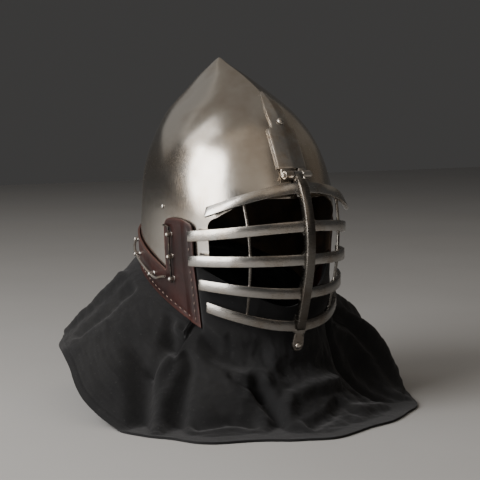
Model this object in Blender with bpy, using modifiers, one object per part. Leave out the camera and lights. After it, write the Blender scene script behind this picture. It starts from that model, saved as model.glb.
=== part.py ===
"""Grill bascinet: a pointed steel skull with a hinged barred visor, a leather
band held by vervelles, and a black cloth aventail that stands on the table.

Metres, Z up. The face looks along -Y, the wearer's right side is -X, and the
table is at z = 0. The visor's parent empty lies on its hinge pin.
"""

import math

import bmesh
import bpy
from mathutils import Matrix, Vector

# Skull
SKULL_APEX = 0.432  # height of the point over the table
SKULL_FOOT = 0.110  # height at which the skull's table of sections starts
SKULL_WIDTH = 0.225
SKULL_DEPTH = 0.287
SKULL_WALL = 0.002
SKULL_COLUMNS = 40
SKULL_ROWS = 15
FACE_EDGE_REACH = 0.079  # how far forward of the axis the face opening's side edge lies
FACE_CORNER_HEIGHT = 0.241
FACE_CORNER_RADIUS = 0.012
BROW_HEIGHT = 0.267  # edge of the face opening on the midline
BROW_FALL = 0.003  # how far that edge falls before it turns down to the corner
BROW_REACH = 0.1205  # how far forward of the axis it starts to fall
CHIN_CORNER_HEIGHT = 0.194
CHIN_SLOPE = 0.006  # fall of the edge from the chin corner back to the leather
CHEEK_LAP = 0.008  # how far the leather hangs below the skull's lower edge

# Leather band
LEATHER_THICKNESS = 0.0025
LEATHER_GAP = 0.0006  # between the steel and the leather
LEATHER_FRONT_ANGLE = 63.2  # degrees from the face, round the skull
LEATHER_ARM_ANGLE = 83.5
LEATHER_ARM_TOP = 0.239
LEATHER_ARM_ROUND = 0.012  # how far its top corners are rounded down
LEATHER_CORNER_HEIGHT = 0.111  # lowest corner, beside the throat
LEATHER_NECK_RISE = 0.075  # how much higher the lower edge runs at the nape
LEATHER_BAND_HEIGHT = 0.040
LEATHER_BAND_ROWS = 3
LEATHER_ARM_ROWS = 4

# Vervelles, the pierced posts that hold the leather, and the rods through them
POST_RADIUS = 0.0032
POST_HEIGHT = 0.0085
ARM_EYE_HEIGHT = 0.0034  # of the holes over the posts' feet
NECK_EYE_HEIGHT = 0.0052
ROD_RADIUS = 0.0012
ROD_STEPS = 8
ROD_CLEARANCE = 0.0004
ROD_HOOK = ((0.0015, 0.0030), (0.0045, 0.0070), (0.0115, 0.0080))  # bent top, as (back, up)
ARM_POST_ANGLE = 78.2
ARM_POST_DROP = 0.027  # spacing of the posts down the arm
ARM_POST_TOP = 0.020  # first post below the top of the arm
NECK_POST_ANGLE = 96.0
NECK_POST_COUNT = 9
NECK_ROD_ANGLE = 82.6  # where the rod along the neck starts, beside the arm's posts

# Aventail
CAPE_REACH = 0.242  # the hem's greatest distance from the axis
CAPE_WALL = 0.003
CAPE_GAP = 0.0008  # between the cloth's upper edge and the leather
CAPE_THROAT_RADIUS = 0.119
CAPE_THROAT_HEIGHT = 0.133  # upper edge on the midline, behind the grill
CAPE_CHIN_GAP = 0.003  # between the cloth's upper edge and the skull's chin corner
CAPE_LIFT = 0.072  # how far the hem is held up at the wearer's right, behind
CAPE_FOLD = 0.012
CAPE_COLUMNS = 60
CAPE_ROWS = 9

# Visor
PIN_HEIGHT = 0.2915
PIN_RADIUS = 0.002
PIN_HEAD_RADIUS = 0.0032
PIN_HEAD_LENGTH = 0.002
HINGE_CLEARANCE = 0.0003
HINGE_SIDE_GAP = 0.0006
KNUCKLE_RADIUS = 0.0050
KNUCKLE_STANDOFF = 0.0006  # between the knuckles and the plate's underside
KNUCKLE_SLOT = 0.0012  # room round the grill's eye in the plate
KNUCKLE_LENGTH = 0.0122
EYE_WIDTH = 0.0110
EYE_BLEND = 0.020  # length over which the middle bar narrows to its eye
VISOR_DROP = 0.2098  # from the pin to the end of the tab
VISOR_STANDOFF = 0.012
BAR_HEIGHT = 0.013
BAR_THICKNESS = 0.0045
BAR_EDGE = 0.0012
CENTRE_BAR_WIDTH = 0.012
CENTRE_BAR_DEPTH = 0.0095
CENTRE_BAR_PROUD = 0.0018  # how far its middle lies in front of the bars'
INNER_ROD_RADIUS = 0.0027
INNER_ROD_OFFSET = 0.064  # from the midline
TAB_WIDTH = 0.0145
TAB_THICKNESS = 0.004
STUD_RADIUS = 0.0042
STUD_HEIGHT = 0.0026
STUD_FROM_END = 0.0065
TAB_CAPE_GAP = 0.004  # at least, between the tab and the cloth behind it

# Hinge plate
PLATE_HALF_WIDTH = 0.0195
PLATE_TIP_HEIGHT = 0.388
PLATE_THICKNESS = 0.0028
PLATE_INNER_THICKNESS = 0.0014
PLATE_INNER_EDGE = 0.0012  # how far the folded inner leaf shows at the sides
PLATE_GAP = 0.0005
PLATE_RIVET_HEIGHT = 0.3537
PLATE_RIVET_RADIUS = 0.0040
PLATE_RIVET_RISE = 0.0026
PLATE_RIVET_LIFT = 0.0005  # its flat underside clears the plate's crease by this
LINER_RIVET_HEIGHT = 0.251
LINER_RIVET_ANGLE = 86.5
LINER_RIVET_RADIUS = 0.0026
LINER_RIVET_RISE = 0.0016
SEAT_GAP = 0.0003

COLLECTION = "grill_bascinet"
CUTTERS = "grill_bascinet_cutters"
SIDES = (("right", -1.0), ("left", 1.0))

# Sections of the skull from its foot to its point. Height is a share of the
# skull's height, width and depth are shares of SKULL_WIDTH and SKULL_DEPTH,
# centre is a share of SKULL_DEPTH behind the axis, and keel says how much of
# the front is a ridge and not a round.
SKULL_SECTIONS = (
    # height, width, centre, depth, keel
    (0.000, 0.900, 0.014, 0.965, 0.00),
    (0.155, 0.937, 0.009, 0.990, 0.02),
    (0.289, 0.973, 0.005, 1.000, 0.04),
    (0.450, 1.000, -0.008, 0.951, 0.05),
    (0.570, 0.975, 0.003, 0.877, 0.06),
    (0.697, 0.838, 0.018, 0.771, 0.08),
    (0.797, 0.602, 0.049, 0.677, 0.11),
    (0.867, 0.370, 0.074, 0.521, 0.15),
    (0.930, 0.188, 0.107, 0.316, 0.20),
    (0.972, 0.078, 0.128, 0.127, 0.25),
    (0.992, 0.028, 0.134, 0.040, 0.20),
)
SKULL_POINT_CENTRE = 0.1355

# Bars of the visor from the brow down. Drops are shares of VISOR_DROP below
# the pin, at the ends and on the midline. Side and front are shares of
# VISOR_STANDOFF beyond the skull, and turn is the end's place round the arc.
VISOR_BARS = (
    # name, end_drop, middle_drop, side, front, turn
    ("brow_bar", 0.205, 0.070, 1.60, 0.90, 50.5),
    ("bar_1", 0.345, 0.280, 0.90, 1.20, 65.0),
    ("bar_2", 0.485, 0.467, 0.90, 1.22, 65.5),
    ("bar_3", 0.617, 0.660, 0.95, 0.85, 59.5),
    ("bar_4", 0.745, 0.852, 1.00, 0.28, 54.0),
)
TAB_FRONT = -0.15  # share of VISOR_STANDOFF at the tab's end

# Outline of the hinge plate from the pin up to its tip. Height is a share of
# the way from the pin to the tip, half_width is a share of PLATE_HALF_WIDTH.
PLATE_OUTLINE = (
    # height, half_width
    (0.000, 1.00),
    (0.300, 0.99),
    (0.535, 0.94),
    (0.548, 0.90),
    (0.560, 0.68),
    (0.620, 0.64),
    (0.730, 0.62),
    (0.810, 0.55),
    (0.870, 0.43),
    (0.925, 0.30),
    (0.965, 0.20),
    (1.000, 0.03),
)

# The hem in plan. Angle is in degrees from the face towards the wearer's right,
# reach is a share of CAPE_REACH.
CAPE_HEM = (
    # angle, reach
    (-180.0, 1.005),
    (-150.0, 0.965),
    (-120.0, 0.935),
    (-90.0, 0.930),
    (-55.0, 0.920),
    (-25.0, 0.945),
    (10.0, 1.000),
    (44.0, 1.000),
    (60.0, 0.980),
    (75.0, 0.925),
    (90.0, 0.920),
    (120.0, 0.920),
    (150.0, 0.960),
    (180.0, 1.005),
)

# Standing folds of the cloth. Angle and width are degrees round the axis, push
# is a share of CAPE_FOLD (out is positive), start is the share of the way down
# at which the fold begins, and slant is how far it drifts round on its way.
CAPE_FOLDS = (
    # angle, width, push, start, slant
    (14.0, 13.0, 0.60, 0.45, -6.0),
    (-22.0, 14.0, -0.45, 0.40, 8.0),
    (-47.0, 12.0, 0.50, 0.45, -5.0),
    (-78.0, 13.0, -0.60, 0.25, -8.0),
    (-104.0, 14.0, 0.50, 0.25, 0.0),
    (-133.0, 15.0, -0.60, 0.25, -6.0),
    (-160.0, 14.0, 0.50, 0.20, 0.0),
    (163.0, 15.0, -0.60, 0.25, -5.0),
    (140.0, 13.0, 0.50, 0.30, 0.0),
    (84.0, 12.0, 0.60, 0.20, 0.0),
    (68.0, 9.0, -1.20, 0.15, -10.0),
    (54.0, 10.0, 0.60, 0.40, -6.0),
    (36.0, 12.0, -0.60, 0.40, -4.0),
)
# How the cloth falls at an angle from the face: out and fall place the bend
# between neck and hem as shares of the reach and of the drop. Before the throat
# it drops and then flares, and at the sides it spreads over the shoulders.
CAPE_BENDS = (
    # angle, out, fall
    (-180.0, 0.70, 0.35),
    (-110.0, 0.90, 0.30),
    (-74.0, 0.92, 0.30),
    (-61.0, 0.03, 0.92),
    (-20.0, 0.03, 0.92),
    (20.0, 0.03, 0.92),
    (58.0, 0.03, 0.92),
    (76.0, 0.45, 0.52),
    (112.0, 0.52, 0.46),
    (150.0, 0.64, 0.40),
    (180.0, 0.70, 0.35),
)
CAPE_LIFT_ANGLE = 112.0
CAPE_LIFT_SPREAD = 34.0


def smooth_row(rows, share):
    """The table's row at this share of its first column, on a smooth curve."""
    last = len(rows) - 1
    index = 0
    while index < last - 1 and rows[index + 1][0] < share:
        index += 1
    low, high = rows[index], rows[index + 1]
    span = high[0] - low[0]
    part = min(max((share - low[0]) / span, 0.0), 1.0)
    before = rows[max(index - 1, 0)]
    after = rows[min(index + 2, last)]
    values = []
    for column in range(1, len(low)):
        slope_low = (high[column] - before[column]) / (high[0] - before[0]) * span
        slope_high = (after[column] - low[column]) / (after[0] - low[0]) * span
        rise = high[column] - low[column]
        if index == 0:
            slope_low = rise
        if index == last - 1:
            slope_high = rise
        square = part * part
        cube = square * part
        values.append(
            low[column] * (2 * cube - 3 * square + 1)
            + high[column] * (3 * square - 2 * cube)
            + slope_low * (cube - 2 * square + part)
            + slope_high * (cube - square)
        )
    return values


def ease(value):
    value = min(max(value, 0.0), 1.0)
    return value * value * (3.0 - 2.0 * value)


def skull_section(height):
    """Half width, centre, half depth and keel of the skull at a height."""
    share = (height - SKULL_FOOT) / (SKULL_APEX - SKULL_FOOT)
    width, centre, depth, keel = smooth_row(SKULL_SECTIONS, share)
    return width * SKULL_WIDTH / 2, centre * SKULL_DEPTH, depth * SKULL_DEPTH / 2, keel


def round_section(angle, half_width, centre, half_depth, keel):
    """A point of an oval with a ridge in front; angle 0 is the face, 90 the right."""
    turn = math.radians(angle)
    forward = math.cos(turn)
    if forward > 0:
        forward = forward * (1 - keel) + keel * (1 - abs(math.sin(turn)))
    return -half_width * math.sin(turn), centre - half_depth * forward


def skull_point(angle, height, out=0.0):
    half_width, centre, half_depth, keel = skull_section(height)
    x, y = round_section(angle, half_width + out, centre, half_depth + out, keel)
    return Vector((x, y, height))


def skull_front(x, height, out=0.0):
    """The skull's front surface at a place beside the midline."""
    half_width, centre, half_depth, keel = skull_section(height)
    angle = math.degrees(math.asin(min(abs(x) / (half_width + out), 1.0)))
    return Vector((x, skull_point(angle, height, out).y, height))


def skull_normal(angle, height):
    step_angle, step_height = 1.0, SKULL_WALL
    along = skull_point(angle + step_angle, height) - skull_point(angle - step_angle, height)
    rise = skull_point(angle, height + step_height) - skull_point(angle, height - step_height)
    return rise.cross(along).normalized()


def make_material(name, colour, roughness, metallic):
    material = bpy.data.materials.new(name)
    material.use_nodes = True
    shader = material.node_tree.nodes["Principled BSDF"]
    shader.inputs["Base Color"].default_value = (*colour, 1.0)
    shader.inputs["Roughness"].default_value = roughness
    shader.inputs["Metallic"].default_value = metallic
    material.diffuse_color = (*colour, 1.0)
    return material


def steel(name, roughness=0.32):
    return make_material(name + "_steel", (0.46, 0.44, 0.41), roughness, 1.0)


def make_collection(name):
    collection = bpy.data.collections.new(name)
    bpy.context.scene.collection.children.link(collection)
    return collection


def add_object(name, mesh_or_curve, material=None, cutter=False):
    thing = bpy.data.objects.new(name, mesh_or_curve)
    bpy.data.collections[CUTTERS if cutter else COLLECTION].objects.link(thing)
    if cutter:
        thing.hide_render = True
        thing.display_type = "WIRE"
    if material:
        thing.data.materials.append(material)
    return thing


def mesh_from_bmesh(name, work, smooth_angle=35.0):
    bmesh.ops.recalc_face_normals(work, faces=work.faces)
    mesh = bpy.data.meshes.new(name)
    work.to_mesh(mesh)
    work.free()
    mesh.shade_smooth()
    mesh.set_sharp_from_angle(angle=math.radians(smooth_angle))
    return mesh


def skin_rings(work, rings, closed_rings=True, closed_ends=False):
    """Faces between rings of points; the ends are left open or join each other."""
    loops = [[work.verts.new(point) for point in ring] for ring in rings]
    pairs = list(zip(loops, loops[1:]))
    if closed_ends:
        pairs.append((loops[-1], loops[0]))
    for low, high in pairs:
        steps = len(low) if closed_rings else len(low) - 1
        for step in range(steps):
            after = (step + 1) % len(low)
            work.faces.new((low[step], low[after], high[after], high[step]))
    return loops


def sweep(name, centres, sides, ups, width, thickness, edge):
    """A bar with chamfered edges along a row of centres, capped at both ends."""
    work = bmesh.new()
    rings = []
    flat, deep = width / 2, thickness / 2
    corners = (
        (flat, -deep + edge), (flat, deep - edge), (flat - edge, deep), (-flat + edge, deep),
        (-flat, deep - edge), (-flat, -deep + edge), (-flat + edge, -deep), (flat - edge, -deep),
    )
    for centre, side, up in zip(centres, sides, ups):
        rings.append([centre + side * across + up * along for across, along in corners])
    loops = skin_rings(work, rings)
    work.faces.new(loops[0])
    work.faces.new(loops[-1])
    return mesh_from_bmesh(name, work)


def cylinder(name, radius, length, centre, axis, segments):
    work = bmesh.new()
    turn = Vector((0, 0, 1)).rotation_difference(Vector(axis)).to_matrix().to_4x4()
    bmesh.ops.create_cone(
        work, cap_ends=True, cap_tris=False, segments=segments,
        radius1=radius, radius2=radius, depth=length,
        matrix=Matrix.Translation(centre) @ turn,
    )
    return mesh_from_bmesh(name, work)


def dome(name, radius, rise, base, axis, segments=12, rings=3):
    """A rivet head: a low dome whose flat underside stands on base."""
    work = bmesh.new()
    turn = Vector((0, 0, 1)).rotation_difference(Vector(axis)).to_matrix().to_4x4()
    place = Matrix.Translation(base) @ turn
    levels = []
    for level in range(rings + 1):
        lean = math.pi / 2 * level / (rings + 1)
        levels.append([
            place @ Vector((
                radius * math.cos(lean) * math.cos(math.tau * step / segments),
                radius * math.cos(lean) * math.sin(math.tau * step / segments),
                rise * math.sin(lean),
            ))
            for step in range(segments)
        ])
    loops = skin_rings(work, levels)
    work.faces.new(loops[0])
    top = work.verts.new(place @ Vector((0, 0, rise)))
    last = loops[-1]
    for step in range(segments):
        work.faces.new((last[step], last[(step + 1) % segments], top))
    return mesh_from_bmesh(name, work)


def evaluated_mesh(thing):
    graph = bpy.context.evaluated_depsgraph_get()
    return bpy.data.meshes.new_from_object(thing.evaluated_get(graph))


def boolean(thing, other, operation):
    modifier = thing.modifiers.new(other.name, "BOOLEAN")
    modifier.object = other
    modifier.operation = operation
    modifier.solver = "EXACT"


def join_meshes(name, meshes, operation="UNION", first=None):
    """One mesh from several solids, added to or cut from the first one by one."""
    base = bpy.data.objects.new(name + "_base", first or meshes[0])
    bpy.context.scene.collection.objects.link(base)
    tools = []
    for mesh in meshes if first else meshes[1:]:
        tool = bpy.data.objects.new(name + "_tool", mesh)
        bpy.context.scene.collection.objects.link(tool)
        boolean(base, tool, operation)
        tools.append(tool)
    bpy.context.view_layer.update()
    joined = evaluated_mesh(base)
    for thing in [base, *tools]:
        bpy.data.objects.remove(thing)
    joined.name = name
    joined.shade_smooth()
    joined.set_sharp_from_angle(angle=math.radians(35))
    return joined


def wire(name, points, radius, material):
    """A round wire along points, with filled ends."""
    curve = bpy.data.curves.new(name, "CURVE")
    curve.dimensions = "3D"
    curve.bevel_depth = radius
    curve.bevel_resolution = 1
    curve.use_fill_caps = True
    line = curve.splines.new("POLY")
    line.points.add(len(points) - 1)
    for spot, point in zip(line.points, points):
        spot.co = (*point, 1.0)
    return add_object(name, curve, material)


def neck_share(y):
    """How far back a place on the lower edge lies, from the throat to the nape."""
    front = skull_point(LEATHER_FRONT_ANGLE, LEATHER_CORNER_HEIGHT).y
    back = skull_point(180.0, LEATHER_CORNER_HEIGHT).y
    return min(max((y - front) / (back - front), 0.0), 1.0)


def leather_low(angle):
    """Height of the leather's lower edge: steep beside the throat, level behind."""
    share = neck_share(skull_point(angle, LEATHER_CORNER_HEIGHT).y)
    return LEATHER_CORNER_HEIGHT + LEATHER_NECK_RISE * (1 - (1 - share) ** 1.35)


def leather_arm_high(angle):
    """Height of the round top of the arm that stands beside the face."""
    middle = (LEATHER_FRONT_ANGLE + LEATHER_ARM_ANGLE) / 2
    away = abs(angle - middle) / (LEATHER_ARM_ANGLE - middle)
    return LEATHER_ARM_TOP - LEATHER_ARM_ROUND * (1 - math.sqrt(max(1 - away**4, 0.0)))


def build_skull():
    work = bmesh.new()
    low = LEATHER_CORNER_HEIGHT
    heights = []
    for row in range(SKULL_ROWS):
        share = row / SKULL_ROWS
        heights.append(low + (SKULL_APEX - low) * (1 - (1 - share) ** 1.35))
    heights.append(low + (SKULL_APEX - low) * 0.992)
    rings = []
    for height in heights:
        rings.append([
            skull_point(360.0 * column / SKULL_COLUMNS, height)
            for column in range(SKULL_COLUMNS)
        ])
    loops = skin_rings(work, rings)
    top = work.verts.new((0.0, SKULL_POINT_CENTRE * SKULL_DEPTH, SKULL_APEX))
    last = loops[-1]
    for column in range(SKULL_COLUMNS):
        work.faces.new((last[column], last[(column + 1) % SKULL_COLUMNS], top))
    skull = add_object("skull", mesh_from_bmesh("skull", work), steel("skull", 0.28))
    wall = skull.modifiers.new("wall", "SOLIDIFY")
    wall.thickness = SKULL_WALL
    wall.offset = -1.0
    cutter = add_object("skull_cutter", skull_outline_cutter(), cutter=True)
    boolean(skull, cutter, "DIFFERENCE")
    return skull


def arc_points(centre, radius, start, stop, steps):
    points = []
    for step in range(steps + 1):
        turn = math.radians(start + (stop - start) * step / steps)
        points.append((centre[0] + radius * math.cos(turn), centre[1] + radius * math.sin(turn)))
    return points


def skull_outline_cutter():
    """Side outline of the face opening and the lower edge, as (y, z), cut right through."""
    far = SKULL_DEPTH
    edge = -FACE_EDGE_REACH
    corner = (edge - FACE_CORNER_RADIUS, FACE_CORNER_HEIGHT - FACE_CORNER_RADIUS)
    outline = [(-far, BROW_HEIGHT), (-BROW_REACH, BROW_HEIGHT - BROW_FALL)]
    outline += arc_points(corner, FACE_CORNER_RADIUS, 80.0, 0.0, 4)
    outline.append((edge, CHIN_CORNER_HEIGHT))
    front = skull_point(LEATHER_FRONT_ANGLE, CHIN_CORNER_HEIGHT)
    outline.append((front.y, CHIN_CORNER_HEIGHT - CHIN_SLOPE))
    for step in range(12):
        angle = LEATHER_ARM_ANGLE + (180.0 - LEATHER_ARM_ANGLE) * step / 11
        spot = skull_point(angle, LEATHER_CORNER_HEIGHT)
        outline.append((spot.y, leather_low(angle) + CHEEK_LAP))
    outline.append((far, outline[-1][1]))
    below = LEATHER_CORNER_HEIGHT - LEATHER_BAND_HEIGHT
    outline += [(far, below), (-far, below)]
    work = bmesh.new()
    rings = []
    for x in (-SKULL_WIDTH, SKULL_WIDTH):
        rings.append([Vector((x, y, z)) for y, z in outline])
    loops = skin_rings(work, rings)
    work.faces.new(loops[0])
    work.faces.new(loops[-1])
    return mesh_from_bmesh("skull_cutter", work)


def leather_angles():
    """Columns of the leather from the right front edge back to the nape."""
    step = 360.0 / SKULL_COLUMNS
    edges = [0.0, 1.0, 3.0]
    angles = [LEATHER_FRONT_ANGLE + edge for edge in edges]
    angles += [LEATHER_ARM_ANGLE - edge for edge in edges]
    for column in range(math.ceil(LEATHER_FRONT_ANGLE / step), SKULL_COLUMNS // 2):
        if min(abs(column * step - angle) for angle in angles) > step * 0.25:
            angles.append(column * step)
    return sorted(angles)


def leather_columns(side):
    """Points of the low band and of the arm over it, column by column on one side."""
    band, arm = [], []
    for angle in leather_angles():
        turn = angle if side < 0 else 360.0 - angle
        low = leather_low(angle)
        high = low + LEATHER_BAND_HEIGHT
        band.append([
            skull_point(turn, low + LEATHER_BAND_HEIGHT * row / LEATHER_BAND_ROWS, LEATHER_GAP)
            for row in range(LEATHER_BAND_ROWS + 1)
        ])
        if angle <= LEATHER_ARM_ANGLE:
            rise = leather_arm_high(angle) - high
            arm.append([
                skull_point(turn, high + rise * (row + 1) / LEATHER_ARM_ROWS, LEATHER_GAP)
                for row in range(LEATHER_ARM_ROWS)
            ])
    return band, arm


def build_leather():
    right_band, right_arm = leather_columns(-1.0)
    left_band, left_arm = leather_columns(1.0)
    low = leather_low(180.0)
    nape = [
        skull_point(180.0, low + LEATHER_BAND_HEIGHT * row / LEATHER_BAND_ROWS, LEATHER_GAP)
        for row in range(LEATHER_BAND_ROWS + 1)
    ]
    work = bmesh.new()
    loops = skin_rings(work, right_band + [nape] + left_band[::-1], closed_rings=False)
    for arm, feet in ((right_arm, loops), (left_arm, loops[::-1])):
        columns = []
        for foot, points in zip(feet, arm):
            columns.append([foot[-1]] + [work.verts.new(point) for point in points])
        for near, far in zip(columns, columns[1:]):
            for row in range(LEATHER_ARM_ROWS):
                work.faces.new((near[row], near[row + 1], far[row + 1], far[row]))
    mesh = mesh_from_bmesh("leather_band", work)
    brown = make_material("oxblood_leather", (0.085, 0.022, 0.016), 0.5, 0.0)
    leather = add_object("leather_band", mesh, brown)
    wall = leather.modifiers.new("wall", "SOLIDIFY")
    wall.thickness = LEATHER_THICKNESS
    wall.offset = 1.0
    return leather


def on_leather(angle, height, above):
    return skull_point(angle, height, LEATHER_GAP + LEATHER_THICKNESS + above)


def post_angles():
    return [
        NECK_POST_ANGLE + (360.0 - 2 * NECK_POST_ANGLE) * index / (NECK_POST_COUNT - 1)
        for index in range(NECK_POST_COUNT)
    ]


def neck_rod_height(angle):
    near = angle if angle <= 180.0 else 360.0 - angle
    straight = NECK_ROD_ANGLE + (NECK_POST_ANGLE - NECK_ROD_ANGLE) * 0.7
    share = 0.5 + 0.35 * ease((straight - near) / (straight - NECK_ROD_ANGLE))
    return leather_low(near) + LEATHER_BAND_HEIGHT * share


def build_post(name, angle, height, along, eye_height):
    """A post standing on the leather, with an eye for the rod that runs along it."""
    normal = skull_normal(angle, height)
    foot = on_leather(angle, height, SEAT_GAP)
    body = cylinder(name, POST_RADIUS, POST_HEIGHT, foot + normal * (POST_HEIGHT / 2), normal, 10)
    eye = cylinder(
        name + "_eye", ROD_RADIUS + ROD_CLEARANCE, POST_RADIUS * 4,
        foot + normal * eye_height, along, 8,
    )
    return add_object(name, join_meshes(name, [eye], "DIFFERENCE", body), steel(name))


def rod_path(angles_and_heights, eye_height):
    points = []
    for angle, height in angles_and_heights:
        normal = skull_normal(angle, height)
        points.append(on_leather(angle, height, SEAT_GAP) + normal * eye_height)
    return points


def build_vervelles():
    for side_name, side in SIDES:
        angle = ARM_POST_ANGLE if side < 0 else 360.0 - ARM_POST_ANGLE
        heights = [LEATHER_ARM_TOP - ARM_POST_TOP - ARM_POST_DROP * index for index in range(3)]
        for index, height in enumerate(heights):
            span = [(angle, height + POST_RADIUS), (angle, height - POST_RADIUS)]
            rise = rod_path(span, ARM_EYE_HEIGHT)
            name = f"arm_post_{side_name}_{index + 1}"
            build_post(name, angle, height, rise[0] - rise[1], ARM_EYE_HEIGHT)
        foot = heights[-1] - POST_RADIUS * 1.6
        rise = (heights[0] + POST_RADIUS * 1.6 - foot) / ROD_STEPS
        places = [(angle, foot + rise * step) for step in range(ROD_STEPS + 1)]
        points = rod_path(places, ARM_EYE_HEIGHT)
        top = points[-1]
        points += [top + Vector((0.0, back, rise)) for back, rise in ROD_HOOK]
        wire(f"arm_rod_{side_name}", points, ROD_RADIUS, steel(f"arm_rod_{side_name}"))
    angles = post_angles()
    for index, angle in enumerate(angles):
        height = neck_rod_height(angle)
        span = [(angle + 1, neck_rod_height(angle + 1)), (angle - 1, neck_rod_height(angle - 1))]
        run = rod_path(span, NECK_EYE_HEIGHT)
        build_post(f"neck_post_{index + 1}", angle, height, run[0] - run[1], NECK_EYE_HEIGHT)
    stops = [NECK_ROD_ANGLE, *angles, 360.0 - NECK_ROD_ANGLE]
    steps = 4
    places = [(NECK_ROD_ANGLE, neck_rod_height(NECK_ROD_ANGLE))]
    for start, stop in zip(stops, stops[1:]):
        for step in range(1, steps + 1):
            angle = start + (stop - start) * step / steps
            places.append((angle, neck_rod_height(angle)))
    wire("neck_rod", rod_path(places, NECK_EYE_HEIGHT), ROD_RADIUS, steel("neck_rod"))


def cape_top(angle):
    """Height of the cloth's upper edge at an angle from the face."""
    near = abs(angle)
    if near < LEATHER_FRONT_ANGLE:
        share = near / LEATHER_FRONT_ANGLE
        front = CHIN_CORNER_HEIGHT - CHIN_SLOPE - CAPE_CHIN_GAP
        return CAPE_THROAT_HEIGHT + (front - CAPE_THROAT_HEIGHT) * share**1.6
    return leather_low(near) - CAPE_GAP


def build_cape():
    gap_angle = 1.0
    columns = []
    step = 360.0 / CAPE_COLUMNS
    for index in range(CAPE_COLUMNS):
        angle = -180.0 + step * index
        if abs(abs(angle) - LEATHER_FRONT_ANGLE) > step * 0.45:
            columns.append(angle)
    for side in (-1.0, 1.0):
        columns.append(side * (LEATHER_FRONT_ANGLE - gap_angle))
        columns.append(side * (LEATHER_FRONT_ANGLE - gap_angle * 0.4))
    columns.sort()
    loops = []
    for angle in columns:
        loops.append(cape_loop(angle, gap_angle))
    work = bmesh.new()
    skin_rings(work, loops, closed_ends=True)
    cloth = make_material("black_wool", (0.012, 0.012, 0.013), 0.9, 0.0)
    return add_object("aventail_cape", mesh_from_bmesh("aventail_cape", work, 60.0), cloth)


def cape_loop(angle, gap_angle):
    """One upright cut through the cloth: down its outside, across the hem and up inside."""
    near = abs(angle)
    in_front = near < LEATHER_FRONT_ANGLE - gap_angle * 0.7
    top = cape_top(near if in_front else max(near, LEATHER_FRONT_ANGLE))
    start = skull_point(angle, top, LEATHER_GAP + LEATHER_THICKNESS)
    radius = math.hypot(start.x, start.y)
    if near < LEATHER_FRONT_ANGLE:
        edge = skull_point(LEATHER_FRONT_ANGLE, top, LEATHER_GAP + LEATHER_THICKNESS)
        pull = ease(near / LEATHER_FRONT_ANGLE)
        radius = CAPE_THROAT_RADIUS + (math.hypot(edge.x, edge.y) - CAPE_THROAT_RADIUS) * pull
    heading = math.atan2(-start.x, -start.y)
    hem = CAPE_REACH * smooth_row(CAPE_HEM, math.degrees(heading))[0]
    foot = hem_height(angle)
    outside, inside = [], []
    for row in range(CAPE_ROWS + 1):
        down = row / CAPE_ROWS
        place = cape_place(angle, down, radius, top, hem, foot)
        ahead = cape_place(angle, down + 0.02, radius, top, hem, foot)
        slope = Vector((ahead[0] - place[0], ahead[1] - place[1])).normalized()
        outside.append(place)
        if row == CAPE_ROWS:
            inside.append((place[0] - CAPE_WALL / max(-slope.y, 0.35), place[1]))
        elif row == 0:
            inside.append((place[0] - CAPE_WALL, place[1]))
        else:
            lowest = foot + CAPE_WALL * 0.15 * (CAPE_ROWS - row)
            height = max(place[1] - slope.x * CAPE_WALL, lowest)
            inside.append((place[0] + slope.y * CAPE_WALL, height))
    loop = []
    for reach, height in outside + inside[::-1]:
        loop.append(Vector((-math.sin(heading) * reach, -math.cos(heading) * reach, height)))
    return loop


def hem_height(angle):
    away = (angle - CAPE_LIFT_ANGLE) / CAPE_LIFT_SPREAD
    return CAPE_LIFT * ease(1.25 - abs(away))


def cape_place(angle, down, radius, top, hem, foot):
    """Reach and height of the cloth's outside, a share of the way down a cut."""
    out, fall = smooth_row(CAPE_BENDS, angle)
    bend = 2 * down * (1 - down)
    reach = radius + (hem - radius) * (bend * out + down * down)
    height = top + (foot - top) * (bend * fall + down * down)
    for fold_angle, width, push, start, slant in CAPE_FOLDS:
        away = (angle - fold_angle - slant * down + 180.0) % 360.0 - 180.0
        if abs(away) < width:
            depth = math.cos(math.pi / 2 * away / width) ** 2
            reach += CAPE_FOLD * push * depth * ease((down - start) / 0.5)
    return reach, height


def cape_front(height):
    """Reach of the cloth's outside on the midline, at a height."""
    hem = CAPE_REACH * smooth_row(CAPE_HEM, 0.0)[0]
    reach = CAPE_THROAT_RADIUS
    for step in range(40):
        place = cape_place(0.0, step / 40, CAPE_THROAT_RADIUS, cape_top(0.0), hem, 0.0)
        if place[1] >= height:
            reach = place[0]
    return reach


def pin_centre():
    out = PLATE_GAP + KNUCKLE_RADIUS + KNUCKLE_STANDOFF
    return Vector((0.0, skull_front(0.0, PIN_HEIGHT, out).y, PIN_HEIGHT))


def plate_patch(name, grow, under, over, top_share):
    """A piece of plate lying on the skull, between two distances from the steel."""
    rise = PLATE_TIP_HEIGHT - PIN_HEIGHT
    rings = []
    across = 8
    for share, half_width in PLATE_OUTLINE:
        if share > top_share:
            continue
        height = PIN_HEIGHT + rise * share
        half = half_width * PLATE_HALF_WIDTH + grow
        places = [half * (2 * step / across - 1) for step in range(across + 1)]
        ring = [skull_front(x, height, over) for x in places]
        ring += [skull_front(x, height, under) for x in reversed(places)]
        rings.append(ring)
    work = bmesh.new()
    loops = skin_rings(work, rings)
    work.faces.new(loops[0])
    work.faces.new(loops[-1])
    return mesh_from_bmesh(name, work)


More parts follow.
